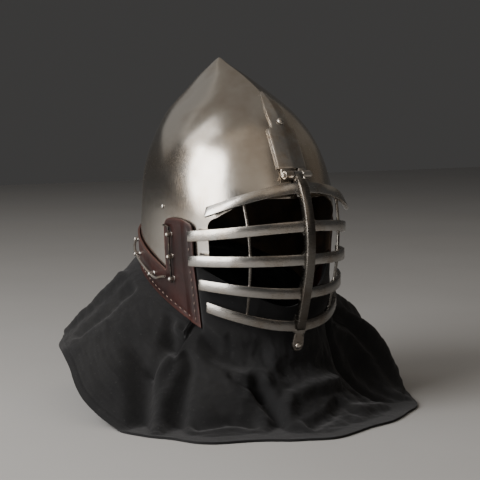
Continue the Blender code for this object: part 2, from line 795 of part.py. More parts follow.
def build_hinge_plate():
    name = "hinge_plate"
    centre = pin_centre()
    outer = plate_patch("outer_leaf", 0.0, PLATE_GAP + PLATE_INNER_THICKNESS * 0.6,
                        PLATE_GAP + PLATE_THICKNESS, 2.0)
    inner = plate_patch("inner_leaf", PLATE_INNER_EDGE, PLATE_GAP,
                        PLATE_GAP + PLATE_INNER_THICKNESS, 0.54)
    gap = EYE_WIDTH / 2 + HINGE_SIDE_GAP
    clear = KNUCKLE_RADIUS + KNUCKLE_SLOT
    slot = bmesh.new()
    bmesh.ops.create_cube(slot, size=1.0)
    size = Vector((gap * 2, KNUCKLE_RADIUS * 6, clear * 2))
    bmesh.ops.transform(slot, verts=slot.verts,
                        matrix=Matrix.Translation(centre) @ Matrix.Diagonal((*size, 1.0)))
    slot_mesh = mesh_from_bmesh("slot", slot)
    leaves = join_meshes("leaves", [inner, outer])
    leaves = join_meshes("leaves", [slot_mesh], "DIFFERENCE", leaves)
    solids = [leaves]
    for _, side in SIDES:
        middle = centre + Vector((side * (gap + KNUCKLE_LENGTH / 2), 0, 0))
        solids.append(cylinder("knuckle", KNUCKLE_RADIUS, KNUCKLE_LENGTH, middle, (1, 0, 0), 16))
    plate = join_meshes(name, solids)
    bore = cylinder("bore", PIN_RADIUS + HINGE_CLEARANCE, KNUCKLE_LENGTH * 4, centre, (1, 0, 0), 12)
    plate = join_meshes(name, [bore], "DIFFERENCE", plate)
    add_object(name, plate, steel(name))
    reach = gap + KNUCKLE_LENGTH + HINGE_SIDE_GAP
    parts = [cylinder("hinge_pin", PIN_RADIUS, reach * 2 + PIN_HEAD_LENGTH, centre, (1, 0, 0), 12)]
    for _, side in SIDES:
        middle = centre + Vector((side * (reach + PIN_HEAD_LENGTH / 2), 0, 0))
        parts.append(cylinder("head", PIN_HEAD_RADIUS, PIN_HEAD_LENGTH, middle, (1, 0, 0), 12))
    add_object("hinge_pin", join_meshes("hinge_pin", parts), steel("hinge_pin"))
    rivet_base = skull_front(0.0, PLATE_RIVET_HEIGHT, PLATE_GAP + PLATE_THICKNESS + PLATE_RIVET_LIFT)
    normal = skull_normal(0.5, PLATE_RIVET_HEIGHT)
    normal = Vector((0.0, normal.y, normal.z)).normalized()
    head = dome("hinge_rivet", PLATE_RIVET_RADIUS, PLATE_RIVET_RISE,
                rivet_base + normal * SEAT_GAP, normal)
    add_object("hinge_rivet", head, steel("hinge_rivet"))


def bar_arc(row):
    """Half axes of a bar's arc in plan, and the heights of its ends and middle."""
    name, end_drop, middle_drop, side, front, turn = row
    end = PIN_HEIGHT - VISOR_DROP * end_drop
    middle = PIN_HEIGHT - VISOR_DROP * middle_drop
    half_width = skull_section(end)[0] + VISOR_STANDOFF * side
    reach = -skull_front(0.0, middle).y + VISOR_STANDOFF * front
    return half_width, reach, end, middle, math.radians(turn)


def bar_point(row, share):
    """Centre of a bar and its outward direction, from -1 at the right end to 1."""
    half_width, reach, end, middle, turn = bar_arc(row)
    angle = turn * share
    bend = (math.sin(angle) / math.sin(turn)) ** 2
    centre = Vector((
        half_width * math.sin(angle), -reach * math.cos(angle), middle + (end - middle) * bend,
    ))
    outward = Vector((math.sin(angle) / half_width, -math.cos(angle) / reach, 0.0)).normalized()
    return centre, outward


def build_bar(row, steps=18):
    centres, sides, ups = [], [], []
    for step in range(steps + 1):
        centre, outward = bar_point(row, 2 * step / steps - 1)
        centres.append(centre)
        sides.append(Vector((0, 0, 1)))
        ups.append(outward)
    return sweep(row[0], centres, sides, ups, BAR_HEIGHT, BAR_THICKNESS, BAR_EDGE)


def centre_line(share):
    """Centre of the middle bar, from the hinge eye at 0 to the end of the tab at 1."""
    rows = [(0.0, pin_centre().y)]
    for row in VISOR_BARS:
        _, reach, _, middle, _ = bar_arc(row)
        rows.append(((PIN_HEIGHT - middle) / VISOR_DROP, -reach - CENTRE_BAR_PROUD))
    end = PIN_HEIGHT - VISOR_DROP
    tab = skull_front(0.0, max(end, SKULL_FOOT)).y - VISOR_STANDOFF * TAB_FRONT
    cloth = cape_front(end) + TAB_CAPE_GAP + TAB_THICKNESS / 2
    rows.append((1.0, min(tab, -cloth)))
    return Vector((0.0, smooth_row(rows, share)[0], PIN_HEIGHT - VISOR_DROP * share))


def build_centre_bar():
    last = VISOR_BARS[-1][2] + 0.02
    centres, sides, ups = [], [], []
    steps = 26
    for step in range(steps + 1):
        share = last * step / steps
        centres.append(centre_line(share))
        along = centre_line(share + 0.01) - centre_line(max(share - 0.01, 0.0))
        sides.append(Vector((1, 0, 0)))
        ups.append(along.cross(Vector((1, 0, 0))).normalized())
    body = sweep("centre_bar", centres, sides, ups, CENTRE_BAR_WIDTH, CENTRE_BAR_DEPTH, BAR_EDGE * 1.6)
    for vertex in body.vertices:
        near = 1 - ease((PIN_HEIGHT - vertex.co.z) / EYE_BLEND)
        vertex.co.x *= 1 - near * (1 - EYE_WIDTH / CENTRE_BAR_WIDTH)
    return body


def build_tab():
    """The flat tongue under the lowest bar, with a round end."""
    half = TAB_WIDTH / 2
    start = VISOR_BARS[-1][2] - 0.01
    end_z = PIN_HEIGHT - VISOR_DROP
    round_z = end_z + half
    rings = []
    steps = 6
    for step in range(steps + 1):
        z = PIN_HEIGHT - VISOR_DROP * start
        rings.append((z + (round_z - z) * step / steps, half))
    for step in range(1, 5):
        lean = math.radians(90.0 * step / 4 - 6)
        rings.append((round_z - half * math.sin(lean), half * math.cos(lean)))
    points = []
    for z, wide in rings:
        share = (PIN_HEIGHT - z) / VISOR_DROP
        centre = centre_line(share)
        front = centre + Vector((0, -TAB_THICKNESS / 2, 0))
        back = centre + Vector((0, TAB_THICKNESS / 2, 0))
        points.append([
            front + Vector((-wide, 0, 0)), front + Vector((wide, 0, 0)),
            back + Vector((wide, 0, 0)), back + Vector((-wide, 0, 0)),
        ])
    work = bmesh.new()
    loops = skin_rings(work, points)
    work.faces.new(loops[0])
    work.faces.new(loops[-1])
    return mesh_from_bmesh("tab", work)


def build_inner_rod(side):
    """A thin upright rod behind the bars, from the brow bar to the lowest bar."""
    points = []
    for row in VISOR_BARS:
        half_width, _, _, _, turn = bar_arc(row)
        share = side * math.asin(INNER_ROD_OFFSET / half_width) / turn
        centre, outward = bar_point(row, share)
        points.append(centre - outward * (BAR_THICKNESS / 2 + INNER_ROD_RADIUS * 0.4))
    centres = []
    for low, high in zip(points, points[1:]):
        for step in range(3):
            centres.append(low + (high - low) * step / 3)
    centres.append(points[-1])
    rings = []
    for centre in centres:
        ring = []
        for corner in range(6):
            turn = math.tau * corner / 6
            ring.append(centre + INNER_ROD_RADIUS * Vector((math.cos(turn), math.sin(turn), 0)))
        rings.append(ring)
    work = bmesh.new()
    loops = skin_rings(work, rings)
    work.faces.new(loops[0])
    work.faces.new(loops[-1])
    return mesh_from_bmesh("inner_rod", work)


def build_visor():
    centre = pin_centre()
    eye = cylinder("eye", KNUCKLE_RADIUS, EYE_WIDTH, centre, (1, 0, 0), 16)
    solids = [build_centre_bar(), eye, build_tab()]
    solids += [build_bar(row) for row in VISOR_BARS]
    solids += [build_inner_rod(side) for _, side in SIDES]
    grill = join_meshes("visor_grill", solids)
    bore = cylinder("bore", PIN_RADIUS + HINGE_CLEARANCE, EYE_WIDTH * 3, centre, (1, 0, 0), 12)
    grill = join_meshes("visor_grill", [bore], "DIFFERENCE", grill)
    pivot = bpy.data.objects.new("visor_pivot", None)
    bpy.data.collections[COLLECTION].objects.link(pivot)
    pivot.location = centre
    share = 1 - STUD_FROM_END / VISOR_DROP
    along = centre_line(share + 0.015) - centre_line(share - 0.015)
    face = Vector((0.0, along.z, -along.y)).normalized()
    seat = centre_line(share) + Vector((0.0, -TAB_THICKNESS / 2, 0.0)) + face * SEAT_GAP * 1.5
    stud = dome("tab_stud", STUD_RADIUS, STUD_HEIGHT, seat, face)
    for name, mesh in (("visor_grill", grill), ("tab_stud", stud)):
        mesh.transform(Matrix.Translation(-centre))
        add_object(name, mesh, steel(name)).parent = pivot


def build_liner_rivets():
    for side_name, side in SIDES:
        angle = LINER_RIVET_ANGLE if side < 0 else 360.0 - LINER_RIVET_ANGLE
        normal = skull_normal(angle, LINER_RIVET_HEIGHT)
        base = skull_point(angle, LINER_RIVET_HEIGHT) + normal * SEAT_GAP
        name = f"liner_rivet_{side_name}"
        head = dome(name, LINER_RIVET_RADIUS, LINER_RIVET_RISE, base, normal, 10, 2)
        add_object(name, head, steel(name))


def main():
    for thing in list(bpy.data.objects):
        bpy.data.objects.remove(thing)
    make_collection(COLLECTION)
    make_collection(CUTTERS)
    build_skull()
    build_leather()
    build_vervelles()
    build_cape()
    build_hinge_plate()
    build_visor()
    build_liner_rivets()


main()
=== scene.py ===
# Grill bascinet in satin steel, with an oxblood leather band and a black wool aventail.
# Everything is in metres. The face looks along -Y and the wearer's right side is -X.
import math

import bmesh
import bpy
from mathutils import Matrix, Vector, noise


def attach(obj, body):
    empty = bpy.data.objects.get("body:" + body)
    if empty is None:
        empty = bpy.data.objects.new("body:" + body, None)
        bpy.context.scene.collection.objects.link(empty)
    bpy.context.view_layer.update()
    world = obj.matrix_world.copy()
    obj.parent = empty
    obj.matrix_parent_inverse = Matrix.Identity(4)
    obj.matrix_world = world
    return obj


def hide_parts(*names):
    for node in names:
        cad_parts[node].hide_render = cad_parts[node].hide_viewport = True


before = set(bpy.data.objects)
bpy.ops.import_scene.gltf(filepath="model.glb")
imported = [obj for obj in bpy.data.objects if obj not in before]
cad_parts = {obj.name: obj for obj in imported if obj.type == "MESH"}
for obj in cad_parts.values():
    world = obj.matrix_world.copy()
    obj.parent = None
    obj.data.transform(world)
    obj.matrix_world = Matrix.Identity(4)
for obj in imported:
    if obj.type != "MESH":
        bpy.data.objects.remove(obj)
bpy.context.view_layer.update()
print("frame loaded")


# the skull's form, as the smith raised it
skullForm = {
    "apex": 0.432,
    "foot": 0.110,  # height at which the table of sections starts
    "width": 0.225,
    "depth": 0.287,
    "wall": 0.002,
    "columns": 176,
    "rows": 96,
    "browHeight": 0.267,
    "browFall": 0.003,
    "browReach": 0.1205,
    "cheekReach": 0.079,  # how far forward the face opening's side edge lies
    "cornerHeight": 0.241,
    "cornerRadius": 0.012,
    "chinHeight": 0.194,
    "chinSlope": 0.006,
    "lap": 0.008,  # the leather hangs this far below the steel
    "edgeRound": 0.0005,
    "rowPower": 1.25,  # the rows lie closer together towards the apex
    "smoothSteps": 6,
    "sharpTip": 0.014,  # the tip isn't smoothed
    "cutReach": 0.008,  # faces this near to the edge line are cut along it
    "cornerTurn": 80.0,
    # height as a share, width and depth as shares, centre behind the axis, ridge in front
    "sections": [
        (0.000, 0.900, 0.014, 0.965, 0.00),
        (0.155, 0.937, 0.009, 0.990, 0.02),
        (0.289, 0.973, 0.005, 1.000, 0.04),
        (0.450, 1.000, -0.008, 0.951, 0.05),
        (0.570, 0.975, 0.003, 0.877, 0.06),
        (0.697, 0.838, 0.018, 0.771, 0.08),
        (0.797, 0.602, 0.049, 0.677, 0.11),
        (0.867, 0.370, 0.074, 0.521, 0.15),
        (0.930, 0.188, 0.107, 0.316, 0.20),
        (0.972, 0.078, 0.128, 0.127, 0.25),
        (0.992, 0.028, 0.134, 0.040, 0.20),
        (1.000, 0.000, 0.1355, 0.000, 0.20),
    ],
}

# the leather band: a strip round the neck edge with an arm beside each cheek
leatherForm = {
    "thickness": 0.0025,
    "gap": 0.0006,
    "frontAngle": 63.2,  # degrees round the skull from the face
    "armAngle": 83.5,
    "armTop": 0.239,
    "armRound": 0.012,
    "armPeak": 0.66,  # where the arm's top peaks, from its front edge back
    "frontSweep": 2.7,  # degrees that the front edge runs forward down to its lowest corner
    "frontLift": 0.0022,  # two layers are sewn along the front edge
    "cornerHeight": 0.111,
    "neckRise": 0.075,
    "bandHeight": 0.040,
    "armColumns": 48,
    "backColumns": 240,
    "bandRows": 22,
    "armRows": 46,
    "edgeRound": 0.0010,
    "edgeLift": 0.0006,  # the free edges curl off the steel
    "liftWidth": 0.006,
    "layerWidth": 0.010,
    "grooveDepth": 0.0003,  # the stitches sink into a groove
    "grooveWidth": 0.0010,
    "waviness": 0.0003,
    "wearWidth": 0.0035,
    "lowPower": 1.35,
    "armPowers": (2.0, 2.4),  # roundness of the arm's top, before and behind its peak
    "sweepTop": 0.180,
    "sweepHeight": 0.069,
}


def smoothRow(rows, share):
    # one row of a table at a share of its first column, on a smooth curve
    last = len(rows) - 1
    index = 0
    while index < last - 1 and rows[index + 1][0] < share:
        index += 1
    low, high = rows[index], rows[index + 1]
    span = high[0] - low[0]
    part = clamp((share - low[0]) / span)
    before, after = rows[max(index - 1, 0)], rows[min(index + 2, last)]
    square, cube = part * part, part * part * part
    values = []
    for column in range(1, len(low)):
        rise = high[column] - low[column]
        slopeLow = rise if index == 0 else (high[column] - before[column]) / (high[0] - before[0]) * span
        slopeHigh = rise
        if index < last - 1:
            slopeHigh = (after[column] - low[column]) / (after[0] - low[0]) * span
        values.append(
            low[column] * (2 * cube - 3 * square + 1)
            + high[column] * (3 * square - 2 * cube)
            + slopeLow * (cube - 2 * square + part)
            + slopeHigh * (cube - square)
        )
    return values


def clamp(value, low=0.0, high=1.0):
    return min(max(value, low), high)


def ease(value):
    value = clamp(value)
    return value * value * (3.0 - 2.0 * value)


def fromFace(angle):
    # degrees from the face, on whichever side the angle lies
    return min(angle, 360.0 - angle)


def bothSides(angle):
    return ("right", angle), ("left", 360.0 - angle)


def skullSection(height):
    form = skullForm
    share = (height - form["foot"]) / (form["apex"] - form["foot"])
    width, centre, depth, keel = smoothRow(form["sections"], share)
    return width * form["width"] / 2, centre * form["depth"], depth * form["depth"] / 2, keel


def skullPoint(angle, height, out=0.0):
    # a place on the skull; angle 0 is the face and 90 the wearer's right
    halfWidth, centre, halfDepth, keel = skullSection(height)
    turn = math.radians(angle)
    forward = math.cos(turn)
    if forward > 0:
        forward = forward * (1 - keel) + keel * (1 - abs(math.sin(turn)))
    return Vector((
        -(halfWidth + out) * math.sin(turn), centre - (halfDepth + out) * forward, height,
    ))


def skullFront(x, height, out=0.0):
    halfWidth = skullSection(height)[0] + out
    angle = math.degrees(math.asin(min(abs(x) / halfWidth, 1.0)))
    return Vector((x, skullPoint(angle, height, out).y, height))


def skullNormal(angle, height):
    along = skullPoint(angle + 1, height) - skullPoint(angle - 1, height)
    rise = skullPoint(angle, height + 0.002) - skullPoint(angle, height - 0.002)
    return rise.cross(along).normalized()


def leatherLow(angle):
    # lower edge of the leather: steep beside the throat, level at the nape
    form = leatherForm
    low = form["cornerHeight"]
    front, back = skullPoint(form["frontAngle"], low).y, skullPoint(180.0, low).y
    share = min((skullPoint(angle, low).y - front) / (back - front), 1.0)
    return low + form["neckRise"] * (1 - (1 - share) ** form["lowPower"])


def leatherArmHigh(angle):
    # the arm's rounded top, which falls from its peak to both edges
    form = leatherForm
    peak = form["frontAngle"] + (form["armAngle"] - form["frontAngle"]) * form["armPeak"]
    edge, power = form["armAngle"], form["armPowers"][1]
    if angle < peak:
        edge, power = form["frontAngle"], form["armPowers"][0]
    away = min((angle - peak) / (edge - peak), 1.0)
    return form["armTop"] - form["armRound"] * (1 - math.sqrt(max(1 - away**power, 0.0)))


def newMaterial(name, colour, roughness, metallic=0.0):
    material = bpy.data.materials.new(name)
    material.use_nodes = True
    shader = material.node_tree.nodes["Principled BSDF"]
    shader.inputs["Base Color"].default_value = (*colour, 1.0)
    shader.inputs["Roughness"].default_value = roughness
    shader.inputs["Metallic"].default_value = metallic
    material.diffuse_color = (*colour, 1.0)
    return material, shader


def fill(material, socket, value):
    # a socket takes a link from another one, or else a value
    if isinstance(value, bpy.types.NodeSocket):
        material.node_tree.links.new(value, socket)
    else:
        socket.default_value = value


def addNode(material, kind, inputs=None, **settings):
    # a shader node with its settings, and its inputs linked or filled in
    node = material.node_tree.nodes.new("ShaderNode" + kind)
    for key, value in settings.items():
        setattr(node, key, value)
    for key, value in (inputs or {}).items():
        fill(material, node.inputs[key], value)
    return node


def dress(material, shader, inputs):
    for key, value in inputs.items():
        fill(material, shader.inputs[key], value)
    return material


def objectPlace(material, scale=None):
    # the object's own coordinates, stretched where a scale is given
    spot = addNode(material, "TexCoord").outputs["Object"]
    if scale:
        spot = addNode(material, "Mapping", {"Vector": spot, "Scale": scale}).outputs["Vector"]
    return spot


def noiseField(material, vector, scale, detail, roughness):
    node = addNode(
        material, "TexNoise",
        {"Vector": vector, "Scale": scale, "Detail": detail, "Roughness": roughness},
    )
    return node.outputs["Fac"]


def remap(material, value, low, high, start=0.0, stop=1.0):
    node = addNode(
        material, "MapRange",
        {"Value": value, "From Min": low, "From Max": high, "To Min": start, "To Max": stop},
    )
    return node.outputs["Result"]


def mixColours(material, factor, first, second, blend="MIX"):
    node = addNode(material, "Mix", data_type="RGBA", blend_type=blend)
    colourInputs = [s for s in node.inputs if s.type == "RGBA"]
    fill(material, node.inputs[0], factor)
    for socket, value in zip(colourInputs, (first, second)):
        fill(material, socket, (*value, 1.0) if isinstance(value, tuple) else value)
    return [s for s in node.outputs if s.type == "RGBA"][0]


def calculate(material, operation, *values):
    node = addNode(material, "Math", operation=operation)
    for socket, value in zip(node.inputs, values):
        fill(material, socket, value)
    return node.outputs[0]


def bumpFrom(material, height, strength, distance, under=None):
    inputs = {"Height": height, "Strength": strength, "Distance": distance}
    if under is not None:
        inputs["Normal"] = under
    return addNode(material, "Bump", inputs).outputs["Normal"]


def satinSteel(name, finish):
    # hand-polished steel: slow hammer waves, fine polishing lines, and a random brown tarnish whose colour
    # also carries painted warm reflection
    material, shader = newMaterial(name, finish["bright"], finish["roughness"], 1.0)
    spot = objectPlace(material)
    waves = noiseField(material, spot, finish["waveScale"], 2.0, 0.45)
    cloud = noiseField(material, spot, finish["tarnishReflectionScale"], 4.0, 0.6)
    along = objectPlace(material, finish["lineStretch"])
    lines = noiseField(material, along, finish["lineScale"], 2.0, 0.6)
    specks = noiseField(material, spot, finish["pitScale"], 3.0, 0.7)
    tarnishAndReflection = remap(material, cloud, finish["tarnishReflectionFrom"], finish["tarnishReflectionTo"])
    colour = mixColours(material, tarnishAndReflection, finish["bright"], finish["brown"])
    pits = remap(material, specks, *finish["pitRange"], 0.0, finish["pits"])
    colour = mixColours(material, pits, colour, finish["pitColour"])
    # breath and hands leave the lower steel duller
    # painted shade: the base colour is darkened towards the bottom, standing in for the dark surroundings
    # that the lower steel mirrors
    height = addNode(material, "SeparateXYZ", {"Vector": spot}).outputs["Z"]
    paintedShade = remap(material, height, finish["paintedShadeFoot"], finish["paintedShadeHead"], finish["paintedShade"], 1.0)
    lined = remap(material, lines, 0.3, 0.7)
    lined = calculate(material, "MULTIPLY_ADD", lined, finish["lineRough"], finish["roughness"])
    tarnished = remap(material, tarnishAndReflection, 0.0, 1.0, 0.0, finish["tarnishRough"])
    normal = bumpFrom(material, waves, finish["waveStrength"], finish["waveDepth"])
    return dress(material, shader, {
        "Base Color": mixColours(material, 1.0, colour, paintedShade, "MULTIPLY"),
        "Roughness": calculate(material, "ADD", lined, tarnished),
        "Normal": bumpFrom(material, lines, finish["lineStrength"], finish["lineDepth"], normal),
    })


steelFinish = {
    "bright": (0.63, 0.595, 0.545),
    # brown of the tarnish, deepened to also stand in for warm reflections: painted reflection
    "brown": (0.42, 0.345, 0.27),
    "roughness": 0.17,
    "waveScale": 17.0,
    "waveStrength": 0.26,
    "waveDepth": 0.0030,
    "tarnishReflectionScale": 11.0,
    "tarnishReflectionFrom": 0.42,
    "tarnishReflectionTo": 0.72,
    "tarnishRough": 0.07,
    "lineScale": 900.0,
    "lineStretch": (1.0, 1.0, 0.04),
    "lineRough": 0.07,
    "lineStrength": 0.25,
    "lineDepth": 0.00004,
    "pits": 0.16,
    "pitScale": 420.0,
    "pitRange": (0.66, 0.76),
    "pitColour": (0.16, 0.13, 0.11),
    "paintedShadeFoot": 0.100,  # heights between which the painted shade fades out
    "paintedShadeHead": 0.265,
    "paintedShade": 1.0,
}
# the bars were ground along their length after welding, and take a stronger painted shade towards the
# bottom
barFinish = {
    **steelFinish, "bright": (0.60, 0.575, 0.54), "roughness": 0.22, "waveScale": 60.0,
    "waveStrength": 0.14, "lineStretch": (0.05, 0.05, 1.0), "lineStrength": 0.06, "lineRough": 0.05,
    "tarnishReflectionScale": 24.0, "tarnishReflectionFrom": 0.46, "paintedShadeHead": 0.275, "paintedShade": 0.37,
}
# the middle bar and the inner rods get a much darker base colour: painted shade, standing in for their
# shadow and the dark surroundings they mirror
paintedShadeMiddleFinish = {
    **barFinish, "bright": (0.28, 0.26, 0.235), "brown": (0.175, 0.14, 0.11), "roughness": 0.24,
    "paintedShade": 0.22,
}
fittingFinish = {
    **steelFinish, "bright": (0.60, 0.57, 0.53), "roughness": 0.30, "waveScale": 120.0,
    "tarnishReflectionScale": 60.0, "lineStretch": (1.0, 1.0, 0.3), "waveStrength": 0.06,
}


leatherLook = {
    "deep": (0.0125, 0.0040, 0.0035),
    "warm": (0.0370, 0.0085, 0.0068),
    "worn": (0.0850, 0.0330, 0.0260),
    "pores": (0.020, 0.005, 0.004),
    "poreShare": 0.35,
    "grainScale": 1250.0,
    "creaseScale": 160.0,
    "patchScale": 22.0,
    "roughness": 0.45,
    "roughRange": (0.36, 0.55),
    "coat": 0.30,
    "coatRoughness": 0.28,
    "specular": 0.35,
}


def oxbloodLeather(look):
    material, shader = newMaterial("oxbloodLeather", look["deep"], look["roughness"])
    spot = objectPlace(material)
    cells = addNode(material, "TexVoronoi", {"Vector": spot, "Scale": look["grainScale"]}, feature="F1")
    grain = cells.outputs["Distance"]
    creases = noiseField(material, spot, look["creaseScale"], 5.0, 0.65)
    patches = noiseField(material, spot, look["patchScale"], 3.0, 0.5)
    border = addNode(material, "Attribute", attribute_name="border").outputs["Fac"]
    colour = mixColours(material, remap(material, patches, 0.38, 0.68), look["deep"], look["warm"])
    rubbed = calculate(material, "MULTIPLY", border, remap(material, creases, 0.35, 0.65, 0.25, 1.0))
    colour = mixColours(material, rubbed, colour, look["worn"])
    dark = calculate(material, "MULTIPLY", remap(material, grain, 0.45, 0.75), look["poreShare"])
    normal = bumpFrom(material, grain, -0.35, 0.00035)
    return dress(material, shader, {
        "Base Color": mixColours(material, dark, colour, look["pores"]),
        "Roughness": remap(material, creases, 0.3, 0.7, *look["roughRange"]),
        "Normal": bumpFrom(material, creases, 0.35, 0.0008, normal),
        "Coat Weight": look["coat"],
        "Coat Roughness": look["coatRoughness"],
        "Specular IOR Level": look["specular"],
    })


woolLook = {
    "yarn": (0.0060, 0.0060, 0.0066),
    "dusty": (0.0155, 0.0150, 0.0150),
    "fuzz": (0.013, 0.013, 0.014),
    "fuzzShare": 0.55,
    "lint": (0.09, 0.088, 0.085),
    "lintShare": 0.5,
    "twillScale": 300.0,  # a rib about every millimetre
    "roughness": 0.88,
    "sheen": 0.16,
    "sheenRoughness": 0.45,
    "sheenTint": (0.75, 0.74, 0.76, 1.0),
    "specular": 0.25,
}


def blackWool(look):
    material, shader = newMaterial("blackWool", look["yarn"], look["roughness"])
    along = addNode(material, "UVMap", uv_map="cloth").outputs["UV"]
    spot = objectPlace(material)
    twill = addNode(
        material, "TexWave",
        {
            "Vector": along, "Scale": look["twillScale"],
            "Distortion": 1.2, "Detail": 2.0, "Detail Scale": 1.5,
        },
        wave_type="BANDS", bands_direction="DIAGONAL",
    ).outputs["Fac"]
    fuzz = noiseField(material, spot, 1300.0, 3.0, 0.7)
    dust = noiseField(material, spot, 14.0, 5.0, 0.62)
    rumple = noiseField(material, spot, 75.0, 3.0, 0.55)
    specks = noiseField(material, spot, 520.0, 1.0, 0.5)
    colour = mixColours(material, remap(material, dust, 0.40, 0.72), look["yarn"], look["dusty"])
    fuzzed = calculate(material, "MULTIPLY", fuzz, look["fuzzShare"])
    colour = mixColours(material, fuzzed, colour, look["fuzz"])
    lint = remap(material, specks, 0.735, 0.76, 0.0, look["lintShare"])
    normal = bumpFrom(material, rumple, 0.30, 0.0030)
    normal = bumpFrom(material, twill, 0.35, 0.0004, normal)
    return dress(material, shader, {
        "Base Color": mixColours(material, lint, colour, look["lint"]),
        "Normal": bumpFrom(material, fuzz, 0.35, 0.0004, normal),
        "Sheen Weight": look["sheen"],
        "Sheen Roughness": look["sheenRoughness"],
        "Sheen Tint": look["sheenTint"],
        "Specular IOR Level": look["specular"],
    })


# each plain surface: noise as scale, detail and roughness, and bump as noise, strength and depth
plainLooks = {
    # the inside and the rim of the skull: rough unpolished steel, its colour darkened further as painted
    # shade
    "rawSteelInsideAndShade": {
        "base": (0.075, 0.062, 0.052), "roughness": 0.62, "metallic": 0.85, "roughRange": (0.5, 0.75),
        "noise": (48.0, 5.0, 0.65), "spread": (0.38, 0.66), "bump": ((30.0, 1.0, 0.4), 0.4, 0.004),
        "colours": ((0.050, 0.042, 0.036), (0.125, 0.085, 0.058)),
    },
    # the cut edge of the leather, paler than its face
    "burnishedLeatherEdge": {
        "base": (0.060, 0.026, 0.020), "roughness": 0.5, "noise": (700.0, 4.0, 0.7), "spread": (0.35, 0.65),
        "colours": ((0.038, 0.014, 0.011), (0.095, 0.042, 0.033)), "bump": ((700.0, 4.0, 0.7), 0.4, 0.0004),
    },
    "waxedThread": {
        "base": (0.25, 0.185, 0.15), "roughness": 0.6, "stretch": (1.0, 1.0, 0.3),
        "noise": (1600.0, 2.0, 0.6), "spread": (0.35, 0.65), "bump": ((1600.0, 2.0, 0.6), 0.5, 0.0003),
        "colours": ((0.15, 0.10, 0.08), (0.36, 0.28, 0.23)),
    },
    # each awl hole is a near-black lens on the leather's face: painted shade in place of the hole's depth
    "awlHoleShade": {
        "base": (0.010, 0.004, 0.003), "roughness": 0.8, "noise": (900.0, 2.0, 0.6), "spread": (0.0, 1.0),
        "colours": ((0.006, 0.002, 0.002), (0.022, 0.008, 0.006)),
    },
    # the arms' rods: a near-black colour, painted shade and painted dark reflection standing in for their
    # shadow and the dim surroundings they mirror
    "paintedShadeRodSteel": {
        "base": (0.045, 0.040, 0.037), "roughness": 0.42, "metallic": 0.9, "roughRange": (0.32, 0.55),
        "noise": (260.0, 4.0, 0.65), "spread": (0.45, 0.75),
        "colours": ((0.030, 0.027, 0.026), (0.20, 0.16, 0.13)),
    },
}


def plainSurface(name):
    # two colours in one cloud of noise
    look = plainLooks[name]
    material, shader = newMaterial(name, look["base"], look["roughness"], look.get("metallic", 0.0))
    spot = objectPlace(material, look.get("stretch"))
    cloud = noiseField(material, spot, *look["noise"])
    inputs = {"Base Color": mixColours(material, remap(material, cloud, *look["spread"]), *look["colours"])}
    if "roughRange" in look:
        inputs["Roughness"] = remap(material, cloud, 0.3, 0.7, *look["roughRange"])
    if "bump" in look:
        dents, strength, depth = look["bump"]
        inputs["Normal"] = bumpFrom(material, noiseField(material, spot, *dents), strength, depth)
    return dress(material, shader, inputs)


skullSteel = satinSteel("polishedSkullSteel", steelFinish)
barSteel = satinSteel("groundBarSteel", barFinish)
paintedShadeMiddleSteel = satinSteel("paintedShadeBarSteel", paintedShadeMiddleFinish)
fittingSteel = satinSteel("fittingSteel", fittingFinish)
leatherFace, woolCloth = oxbloodLeather(leatherLook), blackWool(woolLook)
innerSteelAndShade, leatherEdge, stitchThread, holeShadeMaterial, paintedShadeRodMaterial = [plainSurface(name) for name in plainLooks]
print("materials made")


def smoothMesh(mesh, smoothAngle):
    mesh.shade_smooth()
    mesh.set_sharp_from_angle(angle=math.radians(smoothAngle))


def addObject(name, data):
    thing = bpy.data.objects.new(name, data)
    bpy.context.scene.collection.objects.link(thing)
    return thing


def addPiece(name, work, material, smoothAngle=38.0):
    # a finished mesh as an object at the origin, smooth but for its sharp edges
    mesh = bpy.data.meshes.new(name)
    work.to_mesh(mesh)
    work.free()
    smoothMesh(mesh, smoothAngle)
    piece = addObject(name, mesh)
    mesh.materials.append(material)
    return piece


def applyModifiers(piece, smoothAngle=38.0):
    bpy.context.view_layer.update()
    graph = bpy.context.evaluated_depsgraph_get()
    mesh = bpy.data.meshes.new_from_object(piece.evaluated_get(graph))
    piece.modifiers.clear()
    mesh.name = piece.name
    piece.data = mesh
    smoothMesh(mesh, smoothAngle)
    return piece


def thicken(piece, thickness, offset, rimMaterial=0, innerMaterial=0):
    wall = piece.modifiers.new("wall", "SOLIDIFY")
    wall.thickness = thickness
    wall.offset = offset
    wall.material_offset = innerMaterial
    wall.material_offset_rim = rimMaterial


def roundEdges(piece, width, segments=2, angle=45.0):
    edge = piece.modifiers.new("edge", "BEVEL")
    edge.width = width
    edge.segments = segments
    edge.limit_method = "ANGLE"
    edge.angle_limit = math.radians(angle)


def place(piece, body, slotName, *nodes):
    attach(piece, body)
    if nodes:
        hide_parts(*nodes)
    return piece


helmetMiddle = Vector((0.0, 0.01, 0.25))


def facingOut(work):
    # an open sheet gets its faces turned away from the middle of the helmet
    work.normal_update()
    outward = sum(face.normal.dot(face.calc_center_median() - helmetMiddle) for face in work.faces)
    if outward < 0:
        bmesh.ops.reverse_faces(work, faces=work.faces)


def closed(work, weld=0.0):
    # a closed shape with its faces turned out, its doubled points joined first where asked
    if weld:
        bmesh.ops.remove_doubles(work, verts=work.verts, dist=weld)
    bmesh.ops.recalc_face_normals(work, faces=work.faces)
    return work


